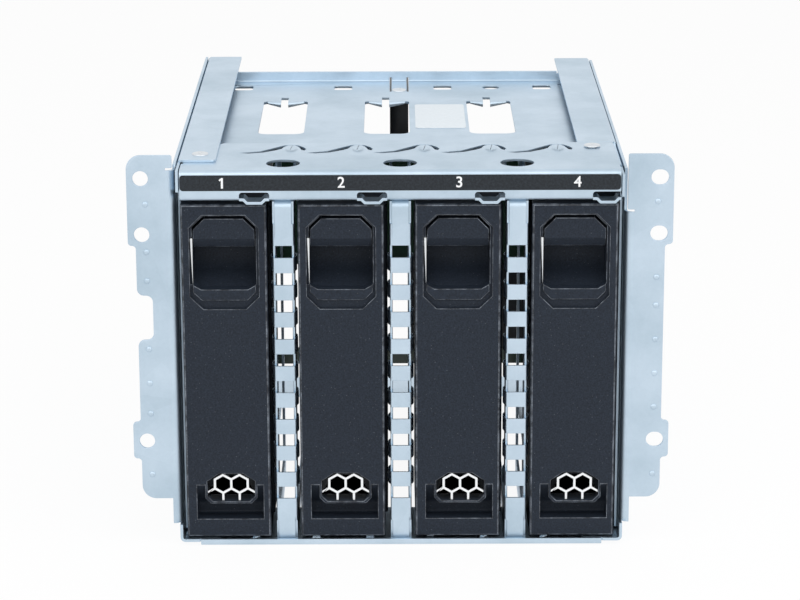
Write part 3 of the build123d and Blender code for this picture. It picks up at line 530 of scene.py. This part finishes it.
def open_sheet(bm, low, high, axis):
    """Cut an opening between two corners through the sheets that lie across an axis, and close its edges."""
    for i in range(3):
        if i == axis:
            continue
        normal = Vector([1 if i == j else 0 for j in range(3)])
        for place in (low, high):
            bmesh.ops.bisect_plane(bm, geom=bm.verts[:] + bm.edges[:] + bm.faces[:], plane_co=place,
                                   plane_no=normal, dist=0.001 * MM)
    skins = set()
    for face in bm.faces:
        middle = face.calc_center_median()
        if abs(face.normal[axis]) > 0.99 and all(low[i] < middle[i] < high[i] for i in range(3)):
            skins.add(face)
    rims = [edge for edge in {edge for face in skins for edge in face.edges}
            if sum(face in skins for face in edge.link_faces) == 1]
    levels = sorted({round(edge.verts[0].co[axis] / MM, 3) for edge in rims})
    bmesh.ops.delete(bm, geom=list(skins), context="FACES")
    for pair in zip(levels[::2], levels[1::2]):
        ring = [edge for edge in rims if round(edge.verts[0].co[axis] / MM, 3) in pair]
        bmesh.ops.bridge_loops(bm, edges=ring)


def open_walls(bm):
    """Cut the wide opening through both walls of a divider, behind the bends that the front shows."""
    half = 8.0
    front, back = 13.0, 58.6
    low, high = 9.0, 106.0
    middle = sum(vert.co.x for vert in bm.verts) / len(bm.verts) / MM
    open_sheet(bm, at(middle - half, front, low), at(middle + half, back, high), 0)


def open_floor(bm):
    """Cut the air slots of the tray, one below each divider."""
    half = 6.6
    front, back = 32.0, 151.0
    for middle in [-0.2 + i * 36.0 for i in (-1, 0, 1)]:
        open_sheet(bm, at(middle - half, front, -1.0), at(middle + half, back, 1.5), 2)


def sink_front(bm):
    """Set the front of the film back a little, to leave room for the ink in front of it."""
    front = min(vert.co.y for vert in bm.verts)
    for vert in bm.verts:
        if vert.co.y < front + 0.01 * MM:
            vert.co.y = front + 0.03 * MM


def taper_spring(bm):
    """Let a leaf spring run out to a fine tip at its foot."""
    tip = 0.3               # share of the width that is left there
    low = min(vert.co.z for vert in bm.verts)
    high = max(vert.co.z for vert in bm.verts)
    right = max(vert.co.x for vert in bm.verts)
    for vert in bm.verts:
        share = (vert.co.z - low) / (high - low)
        vert.co.x = right - (right - vert.co.x) * (tip + (1 - tip) * share)


class CAGE_OT_window_corners(bpy.types.Operator):
    """Add the small round webs in the corners of the top plate's windows"""

    bl_idname = "cage.window_corners"
    bl_label = "Window corners"

    def execute(self, context):
        steel = bpy.data.materials["galvanised steel sheet"]
        thickness = 0.88
        lap = 0.05          # into the window's edges
        steps = 6
        turns = [math.pi / 2 * step / steps for step in range(steps + 1)]
        bm = bmesh.new()
        for middle in WINDOW_MIDDLES:
            for edge, inward, radius in ((WINDOW_FRONT, 1, 3.0), (WINDOW_BACK, -1, 1.65)):
                for side in (-1, 1):
                    arc = [(radius - radius * math.cos(turn), radius - radius * math.sin(turn))
                           for turn in turns]
                    outline = [(-lap, -lap), (-lap, arc[0][1]), *arc, (arc[-1][0], -lap)]
                    shape = [(side * (WINDOW_HALF - x), inward * y) for x, y in outline]
                    foot = at(middle, edge, PLATE_TOP - thickness - 0.01)
                    add_prism(bm, shape, thickness, Matrix.Translation(foot))
        add_piece("window_corners", mesh_from(bm, "corners"), steel, "cage")
        return {"FINISHED"}


class CAGE_OT_sheet_metal(bpy.types.Operator):
    """Finish the side plates, inner walls, dividers, top plate, front strip and tray"""

    bl_idname = "cage.sheet_metal"
    bl_label = "Sheet metal"

    def execute(self, context):
        settings = context.scene.cage_sheet_metal
        steel = galvanised_steel(settings)
        nodes = ["side_plate_left", "side_plate_right", "inner_wall_left", "inner_wall_right", "front_strip"]
        for node in nodes:
            finished_node(node, settings.edge_break, 2, steel)
        for number in range(1, 4):
            finished_node(f"divider_{number}", settings.edge_break, 2, steel, reshape=open_walls)
        finished_node("bottom_tray", settings.edge_break, 2, steel, reshape=open_floor)
        finished_node("top_plate", settings.edge_break, 2, steel, reshape=shape_tongues)
        return {"FINISHED"}


class CAGE_OT_contact_fingers(bpy.types.Operator):
    """Add the bowed fingers on the dividers' walls, which lie between the windows and touch the carriers"""

    bl_idname = "cage.contact_fingers"
    bl_label = "Contact fingers"

    def execute(self, context):
        steel = bpy.data.materials["galvanised steel sheet"]
        thickness = 0.22
        height = 4.6
        count = 9           # on each side of a divider
        lowest = 18.9
        pitch = 8.72
        # Points of the bow: how far it stands off the wall, and how far it lies behind the lip
        bow = [(-0.2, 4.3), (0.25, 4.9), (0.55, 6.0), (0.65, 7.0), (0.55, 8.0), (0.25, 9.1), (-0.2, 9.8)]
        for number in range(1, 4):
            low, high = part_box(f"divider_{number}")
            bm = bmesh.new()
            for side, face in ((-1, low.x), (1, high.x)):
                outline = ribbon([(side * x, y) for x, y in bow], thickness)
                for i in range(count):
                    foot = Vector((face, FRONT, (lowest + i * pitch) * MM))
                    add_prism(bm, outline, height, Matrix.Translation(foot))
            piece = add_piece(f"contact_fingers_{number}", mesh_from(bm, "fingers"), steel, "cage")
            even_normals(piece, 50)
        return {"FINISHED"}


class CAGE_OT_flange_dimples(bpy.types.Operator):
    """Add the small pressed dimples of the two mounting flanges"""

    bl_idname = "cage.flange_dimples"
    bl_label = "Flange dimples"

    def execute(self, context):
        settings = context.scene.cage_sheet_metal
        steel = bpy.data.materials["galvanised steel sheet"]
        half = settings.dimple / MM / 2
        profile = [(0, -0.3), (half, -0.3), (half, 0.0), (0.92 * half, 0.13), (0.7 * half, 0.23),
                   (0.38 * half, 0.29), (0, 0.31)]
        rows = {"left": (-78.1, (110.6, 95.5, 86.3, 64.3, 53.2, 43.3, 23.2)),
                "right": (78.9, (111.1, 87.0, 78.0, 67.0, 56.0, 45.0, 22.9))}
        forward = Matrix.Rotation(math.pi / 2, 4, "X")
        for side, (column, heights) in rows.items():
            bm = bmesh.new()
            for height in heights:
                seat = Matrix.Translation(at(column, FLANGE_FACE, height))
                add_turned(bm, profile, seat @ forward, 24)
            piece = add_piece("flange_dimples_" + side, mesh_from(bm, "dimples"), steel, "cage")
            even_normals(piece, 50)
        return {"FINISHED"}


class CAGE_OT_fasteners(bpy.types.Operator):
    """Add the rivets with their dished heads and the cross-recessed screws of the backplane"""

    bl_idname = "cage.fasteners"
    bl_label = "Rivets and screws"

    def rivets(self, node, places, steel):
        """Dished rivets at some places, each with the turn that points its head outward."""
        bm = bmesh.new()
        profile = [(0, -1.6), (1.45, -1.6), (1.45, 0), (RIVET_HEAD, 0), (RIVET_HEAD, 0.1), (2.45, 0.3),
                   (2.1, 0.42), (0.8, 0.5), (0.65, 0.44), (0.5, 0.2), (0, 0.16)]
        for place, turn in places:
            add_turned(bm, profile, Matrix.Translation(place) @ turn, 40)
        piece = add_piece("finished_" + node, mesh_from(bm, node), steel, "cage")
        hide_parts(node)
        even_normals(piece, 40)

    def recess_cutter(self, places, head):
        """One object with a cross at each screw's head."""
        length, slot, depth = 3.0, 0.9, 2.0
        bm = bmesh.new()
        for place in places:
            for wide, tall in ((length, slot), (slot, length)):
                middle = place + Vector((0, -head * MM, 0))
                add_centred_block(bm, middle, (wide, depth, tall), 0.05, 1)
        cutter = bpy.data.objects.new("recess cutter", mesh_from(bm, "recess"))
        bpy.context.scene.collection.objects.link(cutter)
        return cutter

    def screws(self, steel):
        """The board's four screws, whose recesses are cut by a boolean that is then applied."""
        head = 1.8
        profile = [(0, -2.9), (1.3, -2.9), (1.5, -2.6), (1.5, 0), (SCREW_HEAD, 0), (SCREW_HEAD, 0.5),
                   (2.6, 1.1), (2.05, 1.6), (1.2, head), (0, head)]
        low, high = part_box("board_screws")
        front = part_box("backplane_board")[0].y
        inset = SCREW_HEAD * MM
        forward = Matrix.Rotation(math.pi / 2, 4, "X")
        places = [Vector((x, front, z)) for x in (low.x + inset, high.x - inset)
                  for z in (low.z + inset, high.z - inset)]
        bm = bmesh.new()
        for place in places:
            add_turned(bm, profile, Matrix.Translation(place) @ forward, 36)
        mesh = mesh_from(bm, "board_screws")
        cutter = self.recess_cutter(places, head)
        piece = add_piece("finished_board_screws", mesh, steel, "cage")
        cut = piece.modifiers.new("recess", "BOOLEAN")
        cut.operation = "DIFFERENCE"
        cut.object = cutter
        cut.use_self = True
        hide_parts("board_screws")
        bpy.context.view_layer.update()
        shaped = bpy.data.meshes.new_from_object(piece.evaluated_get(bpy.context.evaluated_depsgraph_get()))
        piece.modifiers.clear()
        piece.data = shaped
        bpy.data.objects.remove(cutter)
        even_normals(piece, 40)

    def execute(self, context):
        steel = bright_metal("bright zinc plating", linear("#d9dee2"))
        up = Matrix.Identity(4)
        inset = RIVET_HEAD * MM
        strip_rivet_back = 30.7
        low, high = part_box("top_rivets")
        rail_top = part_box("inner_wall_left")[1].z
        strip_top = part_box("front_strip")[1].z
        plate_top = PLATE_TOP * MM
        on_rail = Vector((low.x + inset, low.y + inset, rail_top))
        on_strip = Vector((high.x - inset, at(0, strip_rivet_back, 0).y, strip_top))
        on_plate = Vector((0, high.y - inset, plate_top))
        self.rivets("top_rivets", [(on_rail, up), (on_strip, up), (on_plate, up)], steel)
        for side, name in ((-1, "left"), (1, "right")):
            low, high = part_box("side_rivets_" + name)
            wall = side * SIDE_WALL_FACE * MM
            outward = Matrix.Rotation(side * math.pi / 2, 4, "Y")
            middle = (low.y + high.y) / 2
            places = [Vector((wall, middle, z)) for z in (low.z + inset, high.z - inset)]
            self.rivets("side_rivets_" + name, [(place, outward) for place in places], steel)
        self.screws(steel)
        return {"FINISHED"}


class CAGE_OT_labels(bpy.types.Operator):
    """Finish the number label with its bay numbers, and the bare paper label"""

    bl_idname = "cage.labels"
    bl_label = "Labels"

    def written_number(self, context, number, size):
        """A mesh of one number from the built-in font, whose back lies at zero height."""
        half = 0.0165 * MM
        digits = bpy.data.curves.new("number", "FONT")
        digits.body = str(number)
        digits.size = size / 0.69       # a digit is 0.69 of the font's size
        digits.offset = 0.06 * MM
        digits.extrude = half
        digits.align_x = "CENTER"
        digits.align_y = "CENTER"
        written = bpy.data.objects.new("number", digits)
        bpy.context.scene.collection.objects.link(written)
        bpy.context.view_layer.update()
        mesh = bpy.data.meshes.new_from_object(written.evaluated_get(context.evaluated_depsgraph_get()))
        mesh.transform(Matrix.Translation((0, 0, half)))
        bpy.data.objects.remove(written)
        return mesh

    def execute(self, context):
        settings = context.scene.cage_labels
        finished_node("number_label", 0.04 * MM, 2, label_film(settings), reshape=sink_front)
        finished_node("paper_label", 0.04 * MM, 2, label_paper(settings))
        ink = screen_ink()
        ink_depth = 0.033
        tall = settings.number_height / MM
        one = [(0.13, -0.5), (0.13, 0.5), (-0.03, 0.5), (-0.27, 0.31), (-0.19, 0.19), (-0.07, 0.27),
               (-0.07, -0.5)]
        low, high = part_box("number_label")
        forward = Matrix.Rotation(math.pi / 2, 4, "X")
        bm = bmesh.new()
        for number, x in enumerate((-54.4, -18.0, 18.0, 54.1), 1):
            place = (x * MM, low.y + (ink_depth + 0.001) * MM, (low.z + high.z) / 2)
            seat = Matrix.Translation(place) @ forward
            if number == 1:
                add_prism(bm, [(x * tall, y * tall) for x, y in one], ink_depth, seat)
            else:
                mesh = self.written_number(context, number, settings.number_height)
                mesh.transform(seat)
                bm.from_mesh(mesh)
        bmesh.ops.remove_doubles(bm, verts=bm.verts, dist=0.0005 * MM)
        add_piece("bay_numbers", mesh_from(bm, "bay_numbers"), ink, "cage")
        return {"FINISHED"}


class CAGE_OT_blanks(bpy.types.Operator):
    """Finish the four moulded blanks, their latches and leaf springs, and the honeycomb grilles"""

    bl_idname = "cage.blanks"
    bl_label = "Blanks"

    def guide_rail(self, number, plastic):
        """The upright rail on a blank's right side, which runs clear of what stands beside it."""
        last = number == 4
        proud = 0.3 if last else 0.95
        low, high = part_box(f"blank_body_{number}")
        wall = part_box("inner_wall_right")[1].x - 0.9 * MM
        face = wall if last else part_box(f"divider_{number}")[0].x
        bm = bmesh.new()
        add_block(bm, (high.x - 0.5 * MM, low.y + 11.0 * MM, low.z + 4.0 * MM),
                  (min(high.x + proud * MM, face), low.y + 48.0 * MM, high.z - 3.0 * MM), 0.3 * MM)
        add_piece(f"guide_rail_{number}", mesh_from(bm, "guide_rail"), plastic, f"blank_{number}")

    def execute(self, context):
        settings = context.scene.cage_blanks
        plastic = charcoal_plastic(settings)
        plated = bright_metal("bright nickel plating", settings.grille)
        spring = bright_metal("rolled spring steel", linear("#eceff1"))
        # painted highlight: the broken edges of the bodies and latches take a paler material
        rim = rubbed_plastic()
        body = finished_node("blank_body_1", settings.edge_break, 2, plastic, rim)
        grille = finished_node("vent_grille_1", 0.08 * MM, 2, plated)
        for number in range(1, 5):
            if number > 1:
                repeated_node(f"blank_body_{number}", "blank_body_1", body)
                repeated_node(f"vent_grille_{number}", "vent_grille_1", grille)
            finished_node(f"blank_latch_{number}", settings.edge_break, 2, plastic, rim)
            finished_node(f"latch_spring_{number}", 0.06 * MM, 2, spring, reshape=taper_spring)
            self.guide_rail(number, plastic)
        return {"FINISHED"}


class CAGE_OT_backplane(bpy.types.Operator):
    """Finish the backplane, its sockets with their contacts, its small components and its retainer"""

    bl_idname = "cage.backplane"
    bl_label = "Backplane"

    def contacts(self, number, settings, gold):
        """The contacts on both sides of a drive socket's tongue."""
        low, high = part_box(f"drive_socket_{number}")
        middle = (low.x + high.x) / 2
        centre = (low.z + high.z) / 2
        bm = bmesh.new()
        for i in range(settings.contacts):
            z = centre + (i - (settings.contacts - 1) / 2) * settings.contact_pitch
            for side in (-1, 1):
                seat = Vector((middle + side * 0.7 * MM, low.y + 4.15 * MM, z))
                add_centred_block(bm, seat, (0.12, 5.5, 0.7), 0.03, 1)
        add_piece(f"socket_contacts_{number}", mesh_from(bm, "contacts"), gold, "cage")

    def pins(self, gold):
        """The square pins of the power socket and the flat ones of the data socket."""
        low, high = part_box("power_socket")
        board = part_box("backplane_board")[1].y
        columns = 5
        cell = (high.x - low.x - 1.0 * MM) / columns
        half = 0.55 * MM
        bm = bmesh.new()
        for i in range(columns):
            x = low.x + 0.5 * MM + (i + 0.5) * cell
            for z in (low.z + 2.65 * MM, high.z - 2.65 * MM):
                add_block(bm, (x - half, board + 2.6 * MM, z - half),
                          (x + half, high.y - 1.5 * MM, z + half), 0.12 * MM)
        low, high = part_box("data_socket")
        middle = (low.z + high.z) / 2
        pins = 13
        for i in range(pins):
            x = (low.x + high.x) / 2 + (i - (pins - 1) / 2) * 1.0 * MM
            for side in (-1, 1):
                face = middle + side * 0.6 * MM
                add_block(bm, (x - 0.3 * MM, board + 2.2 * MM, face - 0.06 * MM),
                          (x + 0.3 * MM, high.y - 1.4 * MM, face + 0.06 * MM), 0.03 * MM, 1)
        add_piece("rear_socket_pins", mesh_from(bm, "pins"), gold, "cage")

    def chip(self, bodies, legs, seat, wide, tall, count):
        """A chip on the board, with a row of legs above and one below."""
        add_centred_block(bodies, seat + Vector((0, 0.75, 0)) * MM, (wide, 1.2, tall), 0.15)
        for i in range(count):
            shift = (i - (count - 1) / 2) * (wide - 1.6) / max(count - 1, 1)
            for side in (-1, 1):
                middle = seat + Vector((shift, 0.175, side * (tall / 2 + 0.45))) * MM
                add_centred_block(legs, middle, (0.4, 0.45, 1.2), 0.05, 1)

    def resistor(self, bodies, caps, seat):
        """A small surface part with a tinned cap at each end."""
        add_centred_block(bodies, seat + Vector((0, 0.375, 0)) * MM, (1.1, 0.85, 1.24), 0.08, 1)
        for side in (-1, 1):
            end = seat + Vector((side * 0.85, 0.385, 0)) * MM
            add_centred_block(caps, end, (0.64, 0.87, 1.28), 0.08, 1)

    def components(self, nylon, tin):
        """The chips, resistors and can capacitors on the back of the board."""
        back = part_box("backplane_board")[1].y
        # Place across and up, width and height in millimetres, and the legs in a row
        chips = ((-8, 62, 10, 10, 9), (9, 74, 6, 5, 4), (-56, 84, 6, 5, 4), (18, 36, 7, 6, 5))
        cans = ((-20, 80), (28, 82), (52, 44))
        can = [(0, -0.1), (2.0, -0.1), (2.0, 0.9), (1.85, 1.1), (2.0, 1.3), (2.0, 4.6), (1.85, 4.9),
               (1.5, 4.95), (0, 4.9)]
        bodies = bmesh.new()
        legs = bmesh.new()
        for x, z, wide, tall, count in chips:
            self.chip(bodies, legs, Vector((x * MM, back, z * MM)), wide, tall, count)
        for i in range(14):
            x = -60 + (i * 37) % 112
            z = 36 + (i * 23) % 54
            at_socket = (abs(x - 38) < 14 or abs(x + 36) < 13) and abs(z - 60) < 8
            at_chip = any(abs(x - row[0]) < 8 and abs(z - row[1]) < 8 for row in chips)
            at_air_slot = z < 50 and any(abs(x - middle) < 13 for middle in (-36, 0, 36))
            if not (at_socket or at_chip or at_air_slot):
                self.resistor(bodies, legs, Vector((x * MM, back, z * MM)))
        add_piece("board_components", mesh_from(bodies, "components"), nylon, "cage")
        for x, z in cans:
            seat = Matrix.Translation((x * MM, back, z * MM))
            add_turned(legs, can, seat @ Matrix.Rotation(-math.pi / 2, 4, "X"), 36)
        piece = add_piece("board_cans_and_legs", mesh_from(legs, "legs"), tin, "cage")
        even_normals(piece, 40)

    def plugs(self, nylon):
        """The moulded plug that closes the third air slot, and the half plug in the second one."""
        ribs = 5
        bm = bmesh.new()
        for left, right in ((24.7, 47.3), (3.9, 11.3)):
            low = at(left, 159.2, 16.2)
            high = at(right, 163.4, 47.8)
            add_block(bm, low, high, 0.8 * MM)
            add_block(bm, (low.x - 0.2 * MM, high.y - 1.7 * MM, low.z - 0.9 * MM),
                      (high.x + 0.9 * MM, high.y - 0.6 * MM, high.z + 0.9 * MM), 0.4 * MM)
            for i in range(ribs):
                z = low.z + (i + 1) * (high.z - low.z) / (ribs + 1)
                add_block(bm, (low.x + 1.5 * MM, high.y - 0.3 * MM, z - 0.6 * MM),
                          (high.x - 1.5 * MM, high.y + 0.9 * MM, z + 0.6 * MM), 0.3 * MM)
        add_piece("air_slot_plugs", mesh_from(bm, "plugs"), nylon, "cage")

    def execute(self, context):
        settings = context.scene.cage_backplane
        nylon = black_nylon()
        gold = gold_plating()
        tin = bright_metal("tinned leads", linear("#cfd3d6"))
        finished_node("backplane_board", 0.08 * MM, 1, solder_mask(settings))
        for node in ("power_socket", "data_socket", "board_retainer"):
            finished_node(node, 0.15 * MM, 2, nylon)
        for number in range(1, 5):
            finished_node(f"drive_socket_{number}", 0.12 * MM, 2, nylon)
            self.contacts(number, settings, gold)
        self.pins(gold)
        self.components(nylon, tin)
        self.plugs(nylon)
        return {"FINISHED"}


# Stage

def camera_axes(pitch, yaw, roll):
    """Right, up and forward directions of a camera that looks along +Y, then is pitched, turned and
    rolled."""
    right = Vector((math.cos(yaw), math.sin(yaw), 0))
    level = Vector((-math.sin(yaw), math.cos(yaw), 0))
    down = Vector((0, 0, -1))
    forward = level * math.cos(pitch) + down * math.sin(pitch)
    up = level * math.sin(pitch) - down * math.cos(pitch)
    return right * math.cos(roll) + up * math.sin(roll), up * math.cos(roll) - right * math.sin(roll), forward


def add_camera(settings):
    """The camera that fits the photograph's view."""
    pitch, yaw, roll = 0.28143, -0.00193, -0.00297
    place = at(-1.83, -855.18, 327.77)
    camera = bpy.data.cameras.new("camera")
    camera.lens = settings.lens
    camera.sensor_width = 36.0
    camera.sensor_fit = "HORIZONTAL"
    camera.clip_start = 0.05
    seat = bpy.data.objects.new("camera", camera)
    right, up, forward = camera_axes(pitch, yaw, roll)
    turn = Matrix((right, up, -forward)).transposed().to_4x4()
    seat.matrix_world = Matrix.Translation(place) @ turn
    bpy.context.scene.collection.objects.link(seat)
    bpy.context.scene.camera = seat


def seen_directly(holder):
    """The last of some nodes that give 1 for what the camera, the reflections and clear materials see."""
    path = add_node(holder, "ShaderNodeLightPath")
    seen = add_node(holder, "ShaderNodeMath", {"operation": "MAXIMUM"},
                    {0: (path, "Is Camera Ray"), 1: (path, "Is Glossy Ray")})
    return add_node(holder, "ShaderNodeMath", {"operation": "MAXIMUM"},
                    {0: (seen, 0), 1: (path, "Is Transmission Ray")})


def studio_paper(settings):
    """White studio paper: matt and even, shown close to the background's white, with a faint shadow."""
    material = new_material("white studio paper")
    paper = add_node(material, "ShaderNodeBsdfDiffuse", {"Color": settings.paper})
    white = add_node(material, "ShaderNodeEmission", {"Color": (1, 1, 1, 1), "Strength": 1.0})
    share = add_node(material, "ShaderNodeMath", {"operation": "MULTIPLY", 1: 0.93},
                     {0: (seen_directly(material), 0)})
    mix = add_node(material, "ShaderNodeMixShader", links={0: (share, 0), 1: (paper, 0), 2: (white, 0)})
    return finish_material(material, mix)


def add_floor(settings):
    """A wide floor just below the tray."""
    bm = bmesh.new()
    bmesh.ops.create_grid(bm, x_segments=8, y_segments=8, size=4.0)
    floor = bpy.data.objects.new("floor", mesh_from(bm, "floor"))
    floor.location.z = -0.3 * MM
    floor.data.materials.append(studio_paper(settings))
    bpy.context.scene.collection.objects.link(floor)


def add_lamp(name, place, aim, size, power, mirrored=True):
    """A soft rectangular lamp that faces the aim. One that isn't mirrored leaves no bright patch on the
    metal."""
    lamp = bpy.data.lights.new(name, "AREA")
    lamp.shape = "RECTANGLE"
    lamp.size, lamp.size_y = size
    lamp.energy = power
    seat = bpy.data.objects.new(name, lamp)
    seat.location = place
    seat.visible_glossy = mirrored
    seat.rotation_euler = (Vector(aim) - Vector(place)).to_track_quat("-Z", "Y").to_euler()
    bpy.context.scene.collection.objects.link(seat)


def add_world():
    """A white room, which the camera and the reflections see at full white."""
    world = bpy.data.worlds.new("white room")
    world.use_nodes = True
    world.node_tree.nodes.clear()
    bpy.context.scene.world = world
    room = add_node(world, "ShaderNodeBackground", {"Color": (1, 1, 1, 1), "Strength": 0.5})
    backdrop = add_node(world, "ShaderNodeBackground", {"Color": (1, 1, 1, 1), "Strength": 1.0})
    seen = seen_directly(world)
    mix = add_node(world, "ShaderNodeMixShader", links={0: (seen, 0), 1: (room, 0), 2: (backdrop, 0)})
    add_node(world, "ShaderNodeOutputWorld", links={"Surface": (mix, 0)})


class CAGE_OT_stage(bpy.types.Operator):
    """Add the camera, the floor, the lamps and the white room"""

    bl_idname = "cage.stage"
    bl_label = "Stage"

    def execute(self, context):
        settings = context.scene.cage_stage
        add_camera(settings)
        add_floor(settings)
        add_world()
        level = settings.lamp_level
        add_lamp("top lamp", (0.0, -0.1, 1.3), (0, 0, 0), (1.4, 1.4), 5 * level, False)
        add_lamp("front lamp", (-0.7, -1.4, 0.9), (0, 0, 0.05), (2.0, 1.6), 7 * level)
        add_lamp("near lamp", (0.15, -0.32, 0.5), (0.08, -0.25, 0), (0.6, 0.4), 1.0 * level, False)
        add_lamp("side lamp", (0.9, -1.2, 0.7), (0, 0, 0.05), (1.4, 1.2), 4 * level)
        context.scene.view_settings.view_transform = "Standard"
        return {"FINISHED"}


class CAGE_PT_sidebar(bpy.types.Panel):
    """Steps and sizes of the drive cage"""

    bl_label = "Drive Cage"
    bl_space_type = "VIEW_3D"
    bl_region_type = "UI"
    bl_category = "Drive Cage"

    def draw(self, context):
        for operator in OPERATORS:
            self.layout.operator(operator.bl_idname)
        for name, group in GROUPS.items():
            box = self.layout.box()
            for value in group.__annotations__:
                box.prop(getattr(context.scene, name), value)


GROUPS = {
    "cage_sheet_metal": CageSheetMetal,
    "cage_blanks": CageBlanks,
    "cage_labels": CageLabels,
    "cage_backplane": CageBackplane,
    "cage_stage": CageStage,
}
OPERATORS = (CAGE_OT_stage, CAGE_OT_sheet_metal, CAGE_OT_window_corners, CAGE_OT_contact_fingers,
             CAGE_OT_flange_dimples, CAGE_OT_fasteners, CAGE_OT_labels, CAGE_OT_blanks, CAGE_OT_backplane)


def register():
    for group in GROUPS.values():
        bpy.utils.register_class(group)
    for name, group in GROUPS.items():
        setattr(bpy.types.Scene, name, PointerProperty(type=group))
    for operator in OPERATORS:
        bpy.utils.register_class(operator)
    bpy.utils.register_class(CAGE_PT_sidebar)


def unregister():
    bpy.utils.unregister_class(CAGE_PT_sidebar)
    for operator in reversed(OPERATORS):
        bpy.utils.unregister_class(operator)
    for name in GROUPS:
        delattr(bpy.types.Scene, name)
    for group in reversed(GROUPS.values()):
        bpy.utils.unregister_class(group)


def main():
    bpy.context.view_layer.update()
    register()
    bpy.ops.cage.stage()
    bpy.ops.cage.sheet_metal()
    bpy.ops.cage.window_corners()
    bpy.ops.cage.contact_fingers()
    bpy.ops.cage.flange_dimples()
    bpy.ops.cage.fasteners()
    bpy.ops.cage.labels()
    bpy.ops.cage.blanks()
    bpy.ops.cage.backplane()


if __name__ == "__main__":
    main()
